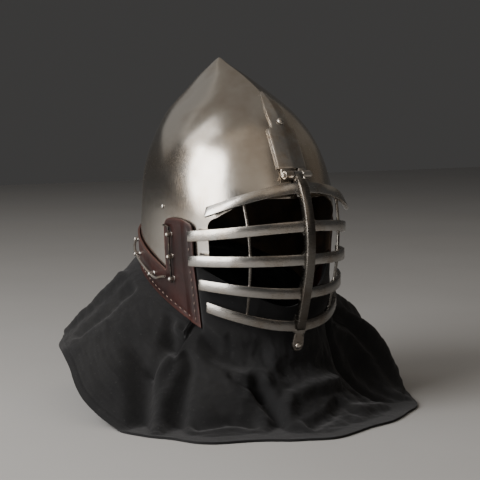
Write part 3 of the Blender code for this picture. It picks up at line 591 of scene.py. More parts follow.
def tube(columns, rows):
    # an open upright tube of unit radius from z = 0 to 1, to be warped
    work = bmesh.new()
    bmesh.ops.create_cone(
        work, cap_ends=False, segments=columns, radius1=1, radius2=1, depth=1,
        matrix=Matrix.Translation((0, 0, 0.5)),
    )
    uprights = [e for e in work.edges if abs(e.verts[0].co.z - e.verts[1].co.z) > 0.5]
    bmesh.ops.subdivide_edges(work, edges=uprights, cuts=rows - 1)
    return work


def panel(columns, rows):
    # a flat unit panel from (0, 0) to (1, 1), to be warped
    work = bmesh.new()
    bmesh.ops.create_grid(
        work, x_segments=columns, y_segments=rows, size=0.5,
        matrix=Matrix.Translation((0.5, 0.5, 0)),
    )
    return work


def standOn(base, normal):
    turn = Vector((0, 0, 1)).rotation_difference(Vector(normal)).to_matrix().to_4x4()
    return Matrix.Translation(base) @ turn


def stood(work, base, normal):
    # a shape made upright at the origin, moved to stand on a base
    bmesh.ops.transform(work, matrix=standOn(base, normal), verts=work.verts)
    return work


def turned(profile, segments=24):
    # a profile of (radius, height) spun about the upright axis
    work = bmesh.new()
    points = [work.verts.new((radius, 0.0, height)) for radius, height in profile]
    lines = [work.edges.new(pair) for pair in zip(points, points[1:])]
    bmesh.ops.spin(
        work, geom=points + lines, cent=(0, 0, 0), axis=(0, 0, 1), dvec=(0, 0, 0),
        angle=math.tau, steps=segments, use_merge=True, use_duplicate=False,
    )
    return closed(work, 0.000001)


def roundedBlock(matrix, edge):
    work = bmesh.new()
    bmesh.ops.create_cube(work, size=1.0, matrix=matrix)
    bmesh.ops.bevel(
        work, geom=work.edges, offset=edge, segments=2, affect="EDGES", profile=0.5, material=-1,
    )
    return work


def roundRivet(name, node, body, base, normal, size, segments=24):
    # a dome on a low upright rim, its size as radius and height
    radius, height = size
    rim, foot, steps = 0.12, 0.97, 6  # shares of the height and of the radius
    profile = [(0.0, 0.0), (radius * foot, 0.0)]
    for step in range(steps + 1):
        lean = math.pi / 2 * step / steps
        profile.append((radius * math.cos(lean), height * (rim + (1 - rim) * math.sin(lean))))
    head = stood(turned(profile, segments), base, normal)
    return place(addPiece(name, head, fittingSteel), body, "forged_steel", node)


def mergeInto(work, part):
    mesh = bpy.data.meshes.new("part")
    part.to_mesh(mesh)
    part.free()
    work.from_mesh(mesh)
    bpy.data.meshes.remove(mesh)


def copiesOf(part, placements):
    # many placed copies of one small shape in one bmesh
    mesh = bpy.data.meshes.new("copy")
    part.to_mesh(mesh)
    part.free()
    work = bmesh.new()
    for matrix in placements:
        moved = mesh.copy()
        moved.transform(matrix)
        work.from_mesh(moved)
        bpy.data.meshes.remove(moved)
    bpy.data.meshes.remove(mesh)
    return work


def skullEdgeLine():
    # side outline of the skull's cut edge as (y, z), from the brow round to the nape
    form = skullForm
    reach, radius = form["cheekReach"], form["cornerRadius"]
    brow = form["browHeight"]
    line = [(-form["depth"], brow), (-form["browReach"], brow - form["browFall"])]
    for step in range(7):
        turn = math.radians(form["cornerTurn"] * (1 - step / 6))
        line.append((
            -reach - radius + radius * math.cos(turn),
            form["cornerHeight"] - radius + radius * math.sin(turn),
        ))
    line.append((-reach, form["chinHeight"]))
    chin = skullPoint(leatherForm["frontAngle"], form["chinHeight"])
    line.append((chin.y, form["chinHeight"] - form["chinSlope"]))
    steps = 9
    for step in range(steps + 1):
        angle = leatherForm["armAngle"] + (180.0 - leatherForm["armAngle"]) * step / steps
        spot = skullPoint(angle, leatherForm["cornerHeight"])
        line.append((spot.y, leatherLow(angle) + form["lap"]))
    line.append((form["depth"], line[-1][1]))
    return line


def insideOutline(outline, y, z):
    inside = False
    for start, stop in zip(outline, outline[1:] + outline[:1]):
        if (start[1] > z) != (stop[1] > z):
            cross = start[0] + (z - start[1]) / (stop[1] - start[1]) * (stop[0] - start[0])
            if y < cross:
                inside = not inside
    return inside


def nearLine(y, z, start, stop):
    along = Vector((stop[0] - start[0], stop[1] - start[1]))
    away = Vector((y - start[0], z - start[1]))
    share = clamp(away.dot(along) / along.length_squared)
    return (away - along * share).length


def buildSkull():
    form = skullForm
    work = tube(form["columns"], form["rows"])
    low = leatherForm["cornerHeight"]
    for vertex in work.verts:
        angle = math.degrees(math.atan2(-vertex.co.x, -vertex.co.y))
        height = low + (form["apex"] - low) * (1 - (1 - vertex.co.z) ** form["rowPower"])
        vertex.co = skullPoint(angle, height)
    bmesh.ops.remove_doubles(work, verts=work.verts, dist=0.000005)
    inner = [v for v in work.verts if not v.is_boundary and v.co.z < form["apex"] - form["sharpTip"]]
    for _ in range(form["smoothSteps"]):
        bmesh.ops.smooth_vert(
            work, verts=inner, factor=0.5, use_axis_x=True, use_axis_y=True, use_axis_z=True,
        )
    line = skullEdgeLine()
    for start, stop in zip(line, line[1:]):
        faces = []
        for face in work.faces:
            middle = face.calc_center_median()
            if nearLine(middle.y, middle.z, start, stop) < form["cutReach"]:
                faces.append(face)
        edges = list({edge for face in faces for edge in face.edges})
        points = list({vertex for face in faces for vertex in face.verts})
        slope = Vector((0.0, stop[0] - start[0], stop[1] - start[1]))
        bmesh.ops.bisect_plane(
            work, geom=points + edges + faces, dist=0.000002,
            plane_co=(0.0, *start), plane_no=slope.cross(Vector((1, 0, 0))).normalized(),
        )
    outline = line + [(form["depth"], 0.0), (-form["depth"], 0.0)]
    gone = []
    for face in work.faces:
        middle = face.calc_center_median()
        if insideOutline(outline, middle.y, middle.z):
            gone.append(face)
    bmesh.ops.delete(work, geom=gone, context="FACES")
    bmesh.ops.remove_doubles(work, verts=work.verts, dist=0.00005)
    facingOut(work)
    skull = addPiece("skullShell", work, skullSteel)
    skull.data.materials.append(innerSteelAndShade)
    # the inside and the rim take the darkened steel: raw steel with painted shade
    thicken(skull, form["wall"], -1.0, 1, 1)
    roundEdges(skull, form["edgeRound"], 2, 50.0)
    applyModifiers(skull)
    return place(skull, "helmet", "forged_steel", "skull")


buildSkull()
print("skull shaped")


def leatherAngle(share):
    # the arms take the first and last columns of the panel
    form = leatherForm
    total = 2 * form["armColumns"] + form["backColumns"]
    arm = form["armColumns"] / total
    width = form["armAngle"] - form["frontAngle"]
    if share <= arm:
        return form["frontAngle"] + width * share / arm
    if share >= 1 - arm:
        return 360.0 - form["frontAngle"] - width * (1 - share) / arm
    back = (share - arm) / (1 - 2 * arm)
    return form["armAngle"] + (360.0 - 2 * form["armAngle"]) * back


def leatherSweep(near, height):
    # degrees that a place near the front edge runs forward
    form = leatherForm
    forward = clamp((form["armAngle"] - near) / (form["armAngle"] - form["frontAngle"]))
    down = clamp((form["sweepTop"] - height) / form["sweepHeight"], 0.0, 1.1)
    return form["frontSweep"] * forward * down


def leatherPlace(angle, share, out=0.0):
    # share 0 to 1 is the band from its lower edge up, 1 to 2 the arm
    form = leatherForm
    side = 1.0 if angle <= 180.0 else -1.0
    near = fromFace(angle)
    for _ in range(2):
        low = leatherLow(near)
        high = low + form["bandHeight"]
        height = low + (high - low) * min(share, 1.0)
        if share > 1:
            height = high + (leatherArmHigh(max(near, form["frontAngle"])) - high) * (share - 1)
        near = fromFace(angle) - leatherSweep(fromFace(angle), height)
    return skullPoint(side * near, height, form["gap"] + out)


def roundSkull(degrees):
    # metres along the skull for an angle round it
    return math.radians(degrees) * skullForm["depth"] / 2


def leatherLift(angle, share):
    # how far the leather's inside stands off, with its curled edges and seam groove
    form = leatherForm
    gap = leatherBorder(angle, share)
    across = roundSkull(fromFace(angle) - form["frontAngle"])
    lift = form["edgeLift"] * (1 - ease(gap / form["liftWidth"]))
    lift = max(lift, form["frontLift"] * (1 - ease((across - form["layerWidth"]) / form["layerWidth"])))
    groove = form["grooveDepth"] * math.exp(-((gap - stitchForm["inset"]) / form["grooveWidth"]) ** 2)
    return lift - groove + form["waviness"] * noise.noise(leatherPlace(angle, share) * 55.0)


def leatherBorder(angle, share):
    # distance in metres to the nearest free edge
    form = leatherForm
    near = fromFace(angle)
    low = leatherLow(near)
    height = leatherPlace(angle, share).z
    gaps = [height - low, roundSkull(near - form["frontAngle"])]
    if near > form["armAngle"]:
        gaps.append(low + form["bandHeight"] - height)
    elif share > 1:
        gaps += [roundSkull(form["armAngle"] - near), leatherArmHigh(near) - height]
    return max(min(gaps), 0.0)


def buildLeather():
    form = leatherForm
    total = 2 * form["armColumns"] + form["backColumns"]
    work = panel(total, form["bandRows"])
    arm = form["armColumns"] / total
    top = [e for e in work.edges if all(v.co.y > 1 - 1e-5 for v in e.verts)]
    top = [e for e in top if all(v.co.x < arm + 1e-5 or v.co.x > 1 - arm - 1e-5 for v in e.verts)]
    raised = bmesh.ops.extrude_edge_only(work, edges=top)["geom"]
    bmesh.ops.translate(work, vec=(0, 1, 0), verts=[g for g in raised if isinstance(g, bmesh.types.BMVert)])
    uprights = [e for e in work.edges if abs(e.verts[0].co.y - e.verts[1].co.y) > 0.5]
    bmesh.ops.subdivide_edges(work, edges=uprights, cuts=form["armRows"] - 1)
    border = work.verts.layers.float.new("border")
    for vertex in work.verts:
        angle, share = leatherAngle(vertex.co.x), vertex.co.y
        vertex[border] = 0.85 * (1 - ease(leatherBorder(angle, share) / form["wearWidth"]))
        vertex.co = leatherPlace(angle, share, leatherLift(angle, share))
    facingOut(work)
    leather = addPiece("leatherBand", work, leatherFace)
    leather.data.materials.append(leatherEdge)
    thicken(leather, form["thickness"], 1.0, 1)
    roundEdges(leather, form["edgeRound"], 3, 60.0)
    applyModifiers(leather, 60.0)
    return place(leather, "helmet", "oxblood_leather", "leather_band")


# saddle stitches through the leather
stitchForm = {
    "inset": 0.0062,
    "pitch": 0.0090,
    "threadLength": 0.0038,
    "threadRadius": 0.00050,
    "holeRadius": 0.00125,
    "holeShape": (1.25, 0.85, 0.16, 1.0),
    "threadLift": 0.00015,
    "holeLift": 0.00012,
    "holeBack": 0.40,  # a hole's place behind its stitch, as a share of the pitch
    "arch": 0.00045,
    "lean": 14.0,
    "cornerGap": 0.004,  # from the lowest corner up to the first stitch
    "topGap": 0.030,
    "sideGap": 6.0,  # degrees from the front edge to the row along the lower edge
}


def stitchRows():
    # centre, outward direction and running direction of each stitch
    form, out = stitchForm, leatherForm["thickness"] - 0.0001
    front = leatherForm["frontAngle"] + math.degrees(form["inset"] / (skullForm["depth"] / 2))
    low = leatherLow(front)
    high = low + leatherForm["bandHeight"]
    rows = []
    for _, angle in bothSides(front):
        height = leatherForm["cornerHeight"] + form["inset"] + form["cornerGap"]
        while height < leatherForm["armTop"] - form["topGap"]:
            share = (height - low) / leatherForm["bandHeight"]
            if share > 1:
                share = 1 + (height - high) / (leatherArmHigh(front) - high)
            rows.append((angle, share, True))
            height += form["pitch"]
    angle = leatherForm["frontAngle"] + form["sideGap"]
    while angle < 360.0 - leatherForm["frontAngle"] - form["sideGap"]:
        rows.append((angle, form["inset"] / leatherForm["bandHeight"], False))
        step = leatherPlace(angle + 1.0, 0.15) - leatherPlace(angle, 0.15)
        angle += form["pitch"] / step.length
    places = []
    for angle, share, upright in rows:
        spot = leatherPlace(angle, share, leatherLift(angle, share) + out)
        ahead = (angle, share + 0.05) if upright else (angle + 0.5, share)
        along = leatherPlace(*ahead) - leatherPlace(angle, share)
        places.append((spot, skullNormal(angle, spot.z), along.normalized()))
    return places


def buildStitches():
    form = stitchForm
    threads, holes = [], []
    lean = Matrix.Rotation(math.radians(form["lean"]), 4, "Z")
    for spot, normal, along in stitchRows():
        across = along.cross(normal).normalized()
        frameOf = Matrix((along, across, normal)).transposed().to_4x4()
        threads.append(Matrix.Translation(spot + normal * form["threadLift"]) @ frameOf @ lean)
        hole = spot - along * (form["pitch"] * form["holeBack"]) + normal * form["holeLift"]
        holes.append(Matrix.Translation(hole) @ frameOf)
    thread = bmesh.new()
    bmesh.ops.create_uvsphere(thread, u_segments=8, v_segments=6, radius=1.0)
    for vertex in thread.verts:
        x, y, z = vertex.co
        arch = (1 - z * z) * form["arch"]
        vertex.co = Vector((
            z * form["threadLength"] / 2, y * form["threadRadius"], x * form["threadRadius"] + arch,
        ))
    # the holes are flat dark lenses, painted shade where the awl went through
    hole = bmesh.new()
    bmesh.ops.create_uvsphere(
        hole, u_segments=8, v_segments=4, radius=form["holeRadius"],
        matrix=Matrix.Diagonal(form["holeShape"]),
    )
    stitches = addPiece("leatherStitches", copiesOf(closed(thread), threads), stitchThread, 80.0)
    marks = addPiece("leatherAwlHoleShade", copiesOf(hole, holes), holeShadeMaterial, 80.0)
    place(stitches, "helmet", "oxblood_leather")
    place(marks, "helmet", "oxblood_leather")


buildLeather()
buildStitches()
print("leather cut and stitched")


# vervelles: pierced posts with a rod through them
postForm = {
    "radius": 0.0032,
    "height": 0.0085,
    "armEye": 0.0034,
    "neckEye": 0.0052,
    "eyeRadius": 0.0019,
    "rodRadius": 0.0013,
    "neckRodRadius": 0.0016,
    "seat": 0.0003,
    "armAngle": 78.2,
    "armTop": 0.020,  # first post below the top of the arm
    "armSpacing": 0.027,
    "neckAngle": 96.0,
    "neckCount": 9,
    "neckRodAngle": 82.6,
    # outline as share of the radius and height, on the foot and about the eye
    "foot": [(0.0, 0.0), (1.0, 0.0), (1.0, 0.0004), (0.86, 0.0008), (0.80, 0.0012)],
    "collar": [(0.80, -0.0016), (0.90, -0.0010), (0.93, 0.0), (0.90, 0.0012)],
    "crownGap": 0.0018,
    "crownHeight": 0.0030,
    "crownShare": 0.88,
    # how the arms' rods hook back at the top
    "hook": [(0, 0.0006, 0.0026), (0, 0.0030, 0.0048), (0, 0.0070, 0.0052), (0, 0.0118, 0.0054)],
}


def overLeather(angle, height, above):
    # a place on the leather's seat for posts, raised along the skull's normal
    form = leatherForm
    seat = skullPoint(angle, height, form["gap"] + form["thickness"] + postForm["seat"])
    return seat + skullNormal(angle, height) * above


def neckRodHeight(angle):
    near = fromFace(angle)
    straight = postForm["neckRodAngle"] + (postForm["neckAngle"] - postForm["neckRodAngle"]) * 0.7
    share = 0.5 + 0.35 * ease((straight - near) / (straight - postForm["neckRodAngle"]))
    return leatherLow(near) + leatherForm["bandHeight"] * share


def buildPost(name, node, angle, height, along, eye):
    form = postForm
    radius, top = form["radius"], form["height"]
    profile = [(radius * share, rise) for share, rise in form["foot"]]
    profile += [(radius * share, eye + rise) for share, rise in form["collar"]]
    crown = max(eye + form["crownGap"], top - form["crownHeight"])
    for step in range(6):
        lean = math.pi / 2 * step / 5
        reach = radius * form["crownShare"] * math.cos(lean)
        profile.append((reach, crown + (top - crown) * math.sin(lean)))
    post = addPiece(name, turned(profile, 20), fittingSteel)
    post.data.transform(standOn(overLeather(angle, height, 0.0), skullNormal(angle, height)))
    drill = bmesh.new()
    bmesh.ops.create_cone(
        drill, cap_ends=True, segments=14, radius1=form["eyeRadius"], radius2=form["eyeRadius"],
        depth=radius * 5, matrix=standOn(overLeather(angle, height, eye), along),
    )
    bit = addPiece("drill", drill, fittingSteel)
    cut = post.modifiers.new("eye", "BOOLEAN")
    cut.object = bit
    cut.operation = "DIFFERENCE"
    cut.solver = "EXACT"
    applyModifiers(post)
    bpy.data.objects.remove(bit)
    return place(post, "helmet", "fitting_steel", node)


def buildRod(name, node, points, material, radius, resolution=6):
    curve = bpy.data.curves.new(name, "CURVE")
    curve.dimensions = "3D"
    curve.bevel_depth = radius
    curve.bevel_resolution = 4
    curve.use_fill_caps = True
    line = curve.splines.new("NURBS")
    line.points.add(len(points) - 1)
    for spot, point in zip(line.points, points):
        spot.co = (*point, 1.0)
    line.order_u = 3
    line.use_endpoint_u = True
    line.resolution_u = resolution
    rod = addObject(name, curve)
    bpy.context.view_layer.update()
    mesh = bpy.data.meshes.new_from_object(rod.evaluated_get(bpy.context.evaluated_depsgraph_get()))
    bpy.data.objects.remove(rod)
    work = bmesh.new()
    work.from_mesh(mesh)
    return place(addPiece(name, closed(work, 0.00001), material, 50.0), "helmet", "fitting_steel", node)


def buildVervelles():
    form = postForm
    reach = form["radius"] * 1.6  # how far an arm's rod passes its outer posts
    for side, angle in bothSides(form["armAngle"]):
        top = leatherForm["armTop"] - form["armTop"]
        heights = [top - form["armSpacing"] * index for index in range(3)]
        for index, height in enumerate(heights):
            rise = overLeather(angle, height + 0.002, 0.003) - overLeather(angle, height - 0.002, 0.003)
            name = f"armVervelle_{side}_{index + 1}"
            buildPost(name, f"arm_post_{side}_{index + 1}", angle, height, rise, form["armEye"])
        foot, head = heights[-1] - reach, heights[0] + reach
        rises = [foot + (head - foot) * step / 12 for step in range(13)]
        points = [overLeather(angle, height, form["armEye"]) for height in rises]
        points += [points[-1] + Vector(step) for step in form["hook"]]
        # the arms' rods are coloured near-black as painted shade
        buildRod(f"armRod_{side}", f"arm_rod_{side}", points, paintedShadeRodMaterial, form["rodRadius"])
    count, first = form["neckCount"], form["neckAngle"]
    angles = [first + (360.0 - 2 * first) * index / (count - 1) for index in range(count)]
    for index, angle in enumerate(angles):
        height = neckRodHeight(angle)
        ends = [overLeather(a, neckRodHeight(a), 0.005) for a in (angle + 1, angle - 1)]
        name = f"neckVervelle_{index + 1}"
        buildPost(name, f"neck_post_{index + 1}", angle, height, ends[0] - ends[1], form["neckEye"])
    stops = [form["neckRodAngle"], *angles, 360.0 - form["neckRodAngle"]]
    points = [overLeather(stops[0], neckRodHeight(stops[0]), form["neckEye"])]
    for start, stop in zip(stops, stops[1:]):
        for step in range(1, 5):
            angle = start + (stop - start) * step / 4
            points.append(overLeather(angle, neckRodHeight(angle), form["neckEye"]))
    buildRod("neckRod", "neck_rod", points, fittingSteel, form["neckRodRadius"], 4)


buildVervelles()
print("vervelles set")


# the hinge on the brow
hingeForm = {
    "pinHeight": 0.2915,
    "plateGap": 0.0005,
    "knuckleRadius": 0.0050,
    "knuckleStandoff": 0.0006,
    "knuckleLength": 0.0122,
    "eyeWidth": 0.0110,
    "sideGap": 0.0006,
    "halfWidth": 0.0195,
    "tipHeight": 0.388,
    "outerLift": 0.00165,  # the outer leaf lies on the inner one
    "outerThickness": 0.00115,
    "outerFoot": 0.0070,  # its lower edge over the pin
    "innerThickness": 0.0012,
    "innerEdge": 0.0015,
    "innerFoot": 0.068,  # its lower edge, as a share of the way up from the pin
    "shoulder": 0.556,  # the leaves share one outline above this
    "leafEdge": 0.00035,
    "rivetHeight": 0.3537,
    "rivetLift": 0.0033,
    "rivetSize": (0.0044, 0.0029),
    "pinRadius": 0.0020,
    "pinPlay": 0.0003,
    "knuckleEdge": 0.0005,
    # the knuckles' legs: shares of the radius, and metres off the plate and forward
    "legShape": (0.50, 1.3),
    "legRise": 0.75,
    "legLift": 0.0008,
    "legForward": 0.0012,
    # the pin's head as radius and reach past the knuckle
    "pinHead": [
        (0.0032, 0.0), (0.0032, 0.0010), (0.002624, 0.0019), (0.00144, 0.0020), (0.001152, 0.0012),
        (0.0, 0.0010),
    ],
    # share of the way up from the pin, share of the half width
    "outline": [
        (0.000, 1.00), (0.300, 0.99), (0.500, 0.955), (0.535, 0.94), (0.545, 0.91), (0.552, 0.83),
        (0.560, 0.70), (0.585, 0.655), (0.640, 0.64), (0.730, 0.62), (0.810, 0.55), (0.870, 0.43),
        (0.925, 0.30), (0.965, 0.20), (0.985, 0.11), (1.000, 0.03),
    ],
}


def straightRow(rows, share):
    for low, high in zip(rows, rows[1:]):
        if share <= high[0]:
            return low[1] + (high[1] - low[1]) * max(share - low[0], 0.0) / (high[0] - low[0])
    return rows[-1][1]


def pinCentre():
    form = hingeForm
    out = form["plateGap"] + form["knuckleRadius"] + form["knuckleStandoff"]
    return Vector((0.0, skullFront(0.0, form["pinHeight"], out).y, form["pinHeight"]))


def buildLeaf(name, foot, grow, lift, thickness, *nodes):
    # a leaf of plate on the brow, from a share of the way up to the tip
    form = hingeForm
    rise = form["tipHeight"] - form["pinHeight"]
    stops = [foot] + [row[0] for row in form["outline"] if row[0] > foot]
    rows = []
    for start, stop in zip(stops, stops[1:]):
        steps = max(round((stop - start) * rise / 0.0025), 1)
        rows += [start + (stop - start) * step / steps for step in range(steps)]
    rows.append(stops[-1])
    work = panel(16, len(rows) - 1)
    for vertex in work.verts:
        share = rows[round(vertex.co.y * (len(rows) - 1))]
        half = straightRow(form["outline"], share) * form["halfWidth"]
        half += grow * ease((form["shoulder"] - share) / 0.012)
        x = half * (2 * vertex.co.x - 1)
        vertex.co = skullFront(x, form["pinHeight"] + rise * share, form["plateGap"] + lift)
    facingOut(work)
    piece = addPiece(name, work, fittingSteel)
    thicken(piece, thickness, 1.0)
    roundEdges(piece, form["leafEdge"], 2, 40.0)
    place(applyModifiers(piece), "helmet", "forged_steel", *nodes)


def buildLeaves():
    form = hingeForm
    foot = form["outerFoot"] / (form["tipHeight"] - form["pinHeight"])
    buildLeaf("hingeLeafOuter", foot, 0.0, form["outerLift"], form["outerThickness"], "hinge_plate")
    buildLeaf("hingeLeafInner", form["innerFoot"], form["innerEdge"], 0.0, form["innerThickness"])


def buildKnuckles():
    # the inner leaf rolled round the pin on both sides of the visor's eye, with a leg behind
    form = hingeForm
    radius, length, edge = form["knuckleRadius"], form["knuckleLength"], form["knuckleEdge"]
    bore = form["pinRadius"] + form["pinPlay"]
    gap = form["eyeWidth"] / 2 + form["sideGap"]
    ring = [
        (bore, 0.0), (radius - edge, 0.0), (radius, edge), (radius, length - edge),
        (radius - edge, length), (bore, length), (bore, 0.0),
    ]
    deep, tall = form["legShape"]
    size = Matrix.Diagonal((length - 0.0006, radius * deep, radius * tall, 1.0))
    height = form["pinHeight"] + radius * form["legRise"]
    knuckles = bmesh.new()
    for side in (-1.0, 1.0):
        start = pinCentre() + Vector((side * gap, 0, 0))
        mergeInto(knuckles, stood(turned(ring, 32), start, (side, 0, 0)))
        foot = skullFront(side * (gap + length / 2), height, form["plateGap"] + form["legLift"])
        foot.y -= form["legForward"]
        mergeInto(knuckles, roundedBlock(Matrix.Translation(foot) @ size, edge))
    place(addPiece("hingeKnuckles", knuckles, fittingSteel), "helmet", "forged_steel")


def buildPin():
    form = hingeForm
    reach = form["eyeWidth"] / 2 + form["knuckleLength"] + 2 * form["sideGap"]
    half = [(0.0, 0.0), (form["pinRadius"], 0.0), (form["pinRadius"], reach)]
    half += [(radius, reach + past) for radius, past in form["pinHead"]]
    pin = bmesh.new()
    for side in (-1.0, 1.0):
        end = stood(turned(half, 24), pinCentre(), (side, 0, 0))
        middle = [f for f in end.faces if all(abs(v.co.x) < 1e-6 for v in f.verts)]
        bmesh.ops.delete(end, geom=middle, context="FACES")
        mergeInto(pin, end)
    place(addPiece("hingePin", closed(pin, 0.00001), fittingSteel), "helmet", "forged_steel", "hinge_pin")


def buildPlateRivet():
    form = hingeForm
    normal = skullNormal(0.5, form["rivetHeight"])
    normal = Vector((0.0, normal.y, normal.z)).normalized()
    base = skullFront(0.0, form["rivetHeight"], form["plateGap"] + form["rivetLift"]) + normal * 0.0003
    roundRivet("hingeRivet", "hinge_rivet", "helmet", base, normal, form["rivetSize"])


# small rivets that hold the lining
linerForm = {"height": 0.251, "angle": 86.5, "size": (0.0026, 0.0016)}


def buildLinerRivets():
    form = linerForm
    for side, angle in bothSides(form["angle"]):
        normal = skullNormal(angle, form["height"])
        base = skullPoint(angle, form["height"]) + normal * 0.0003
        roundRivet(f"linerRivet_{side}", f"liner_rivet_{side}", "helmet", base, normal, form["size"], 20)


buildLeaves()
buildKnuckles()
buildPin()
buildPlateRivet()
buildLinerRivets()
print("hinge and rivets set")


# the visor: five flat bars across, one down the middle, and two thin rods inside
visorForm = {
    "drop": 0.2098,
    "standoff": 0.012,
    "barHeight": 0.013,
    "barThickness": 0.0045,
    "barEdge": 0.0010,
    "stockLength": 0.25,
    "centreWidth": 0.012,
    "centreDepth": 0.0095,
    "centreProud": 0.0018,
    "centreEdge": 0.0016,
    "browTilt": 12.0,  # the brow bar leans out at its lower edge, more so at its ends
    "browEndTilt": 20.0,
    "filletRadius": 0.0085,
    "filletInset": 0.0010,
    "filletStep": 0.0007,  # how much thinner a fillet is than the bars
    "rodRadius": 0.0018,
    "rodFoot": 0.0036,  # how much a rod widens into its weld
    "rodFootLength": 0.0095,
    "rodOffset": 0.065,
    "rodLean": 0.004,  # the rods stand wider at the brow than at the chin
    "tabWidth": 0.0145,
    "tabThickness": 0.004,
    "tabEdge": 0.0007,
    "tabFront": -0.15,
    "tabNeck": 0.76,  # its width below the bar as a share, and how much it then gains
    "tabFlare": 0.30,
    "eyeTaper": 0.020,  # the middle bar narrows to the hinge's eye over this length
    "studSize": (0.0042, 0.0026),
    "studFromEnd": 0.0065,
    # end drop, middle drop, side and front standoff, and the turn of the bar's end
    "bars": [
        (0.205, 0.070, 1.60, 0.90, 50.5),
        (0.345, 0.280, 0.90, 1.20, 65.0),
        (0.485, 0.467, 0.90, 1.22, 65.5),
        (0.617, 0.660, 0.95, 0.85, 59.5),
        (0.745, 0.852, 1.00, 0.28, 54.0),
    ],
}


def barArc(row):
    form = visorForm
    endDrop, middleDrop, side, front, turn = row
    end = hingeForm["pinHeight"] - form["drop"] * endDrop
    middle = hingeForm["pinHeight"] - form["drop"] * middleDrop
    halfWidth = skullSection(end)[0] + form["standoff"] * side
    reach = -skullFront(0.0, middle).y + form["standoff"] * front
    return halfWidth, reach, end, middle, math.radians(turn)


def barPoint(row, share):
    halfWidth, reach, end, middle, turn = barArc(row)
    angle = turn * share
    bend = (math.sin(angle) / math.sin(turn)) ** 2
    centre = Vector((halfWidth * math.sin(angle), -reach * math.cos(angle), middle + (end - middle) * bend))
    outward = Vector((math.sin(angle) / halfWidth, -math.cos(angle) / reach, 0.0)).normalized()
    return centre, outward


def centreLine(share):
    form = visorForm
    rows = [(0.0, pinCentre().y)]
    for row in form["bars"]:
        _, reach, _, middle, _ = barArc(row)
        rows.append(((hingeForm["pinHeight"] - middle) / form["drop"], -reach - form["centreProud"]))
    tab = skullFront(0.0, skullForm["foot"]).y - form["standoff"] * form["tabFront"]
    rows.append((1.0, tab))
    return Vector((0.0, smoothRow(rows, share)[0], hingeForm["pinHeight"] - form["drop"] * share))


def barStock(length, width, depth, edge, cuts):
    # a straight bar along x with rounded edges, cut across so that it can bend
    work = roundedBlock(Matrix.Diagonal((length, depth, width, 1.0)), edge)
    long = [e for e in work.edges if abs(e.verts[0].co.x - e.verts[1].co.x) > length / 2]
    bmesh.ops.subdivide_edges(work, edges=long, cuts=cuts)
    bmesh.ops.translate(work, verts=work.verts, vec=(length / 2, 0, 0))
    return work


def barLean(row, share):
    # outward and upward directions of a bar's section
    _, outward = barPoint(row, share)
    if row is not visorForm["bars"][0]:
        return outward, Vector((0, 0, 1))
    tilt = math.radians(visorForm["browTilt"] + visorForm["browEndTilt"] * share * share)
    up = Vector((0, 0, 1)) * math.cos(tilt) - outward * math.sin(tilt)
    face = outward * math.cos(tilt) + Vector((0, 0, 1)) * math.sin(tilt)
    return face, up


def crossBar(row):
    form = visorForm
    length = form["stockLength"]
    work = barStock(length, form["barHeight"], form["barThickness"], form["barEdge"], 63)
    for vertex in work.verts:
        share = 2 * vertex.co.x / length - 1
        centre, _ = barPoint(row, share)
        face, up = barLean(row, share)
        vertex.co = centre + face * vertex.co.y + up * vertex.co.z
    return closed(work)


def weldFillets(row):
    # hollow fillets where a bar meets the middle bar
    form = visorForm
    work = bmesh.new()
    thickness = form["barThickness"] - form["filletStep"]
    halfWidth, _, _, _, turn = barArc(row)
    radius = form["filletRadius"]
    inset = form["filletInset"]
    for side in (-1.0, 1.0):
        share = side * math.asin((form["centreWidth"] / 2 - inset) / halfWidth) / turn
        centre, _ = barPoint(row, share)
        face, up = barLean(row, share)
        across = Vector((0, 0, 1)).cross(face).normalized() * side
        for rise in (-1.0, 1.0):
            spot = centre + up * (rise * (form["barHeight"] / 2 - inset))
            wedge = bmesh.new()
            bmesh.ops.create_cube(wedge, size=1.0, matrix=Matrix.Translation((0.5, 0.5, 0)))
            along = [e for e in wedge.edges if abs(e.verts[0].co.x - e.verts[1].co.x) > 0.5]
            bmesh.ops.subdivide_edges(wedge, edges=along, cuts=7)
            for vertex in wedge.verts:
                lean = math.radians(270.0 - 90.0 * vertex.co.x)
                out = vertex.co.y * radius * (1 + math.cos(lean))
                high = vertex.co.y * radius * (1 + math.sin(lean))
                deep = vertex.co.z * thickness
                vertex.co = spot + across * out + up * (rise * high) + face * deep
            mergeInto(work, closed(wedge, 0.00001))
    return work


def centreBar():
    form = visorForm
    last = form["bars"][-1][1] + 0.02
    length = form["drop"] * last
    work = barStock(length, form["centreWidth"], form["centreDepth"], form["centreEdge"], 71)
    for vertex in work.verts:
        share = last * vertex.co.x / length
        along = centreLine(share + 0.01) - centreLine(max(share - 0.01, 0.0))
        out = along.cross(Vector((1, 0, 0))).normalized()
        centre = centreLine(share)
        eye = 1 - ease(share * form["drop"] / form["eyeTaper"])
        width = vertex.co.z * (1 - eye * (1 - hingeForm["eyeWidth"] / form["centreWidth"]))
        vertex.co = centre + out * vertex.co.y + Vector((width, 0, 0))
    return closed(work)


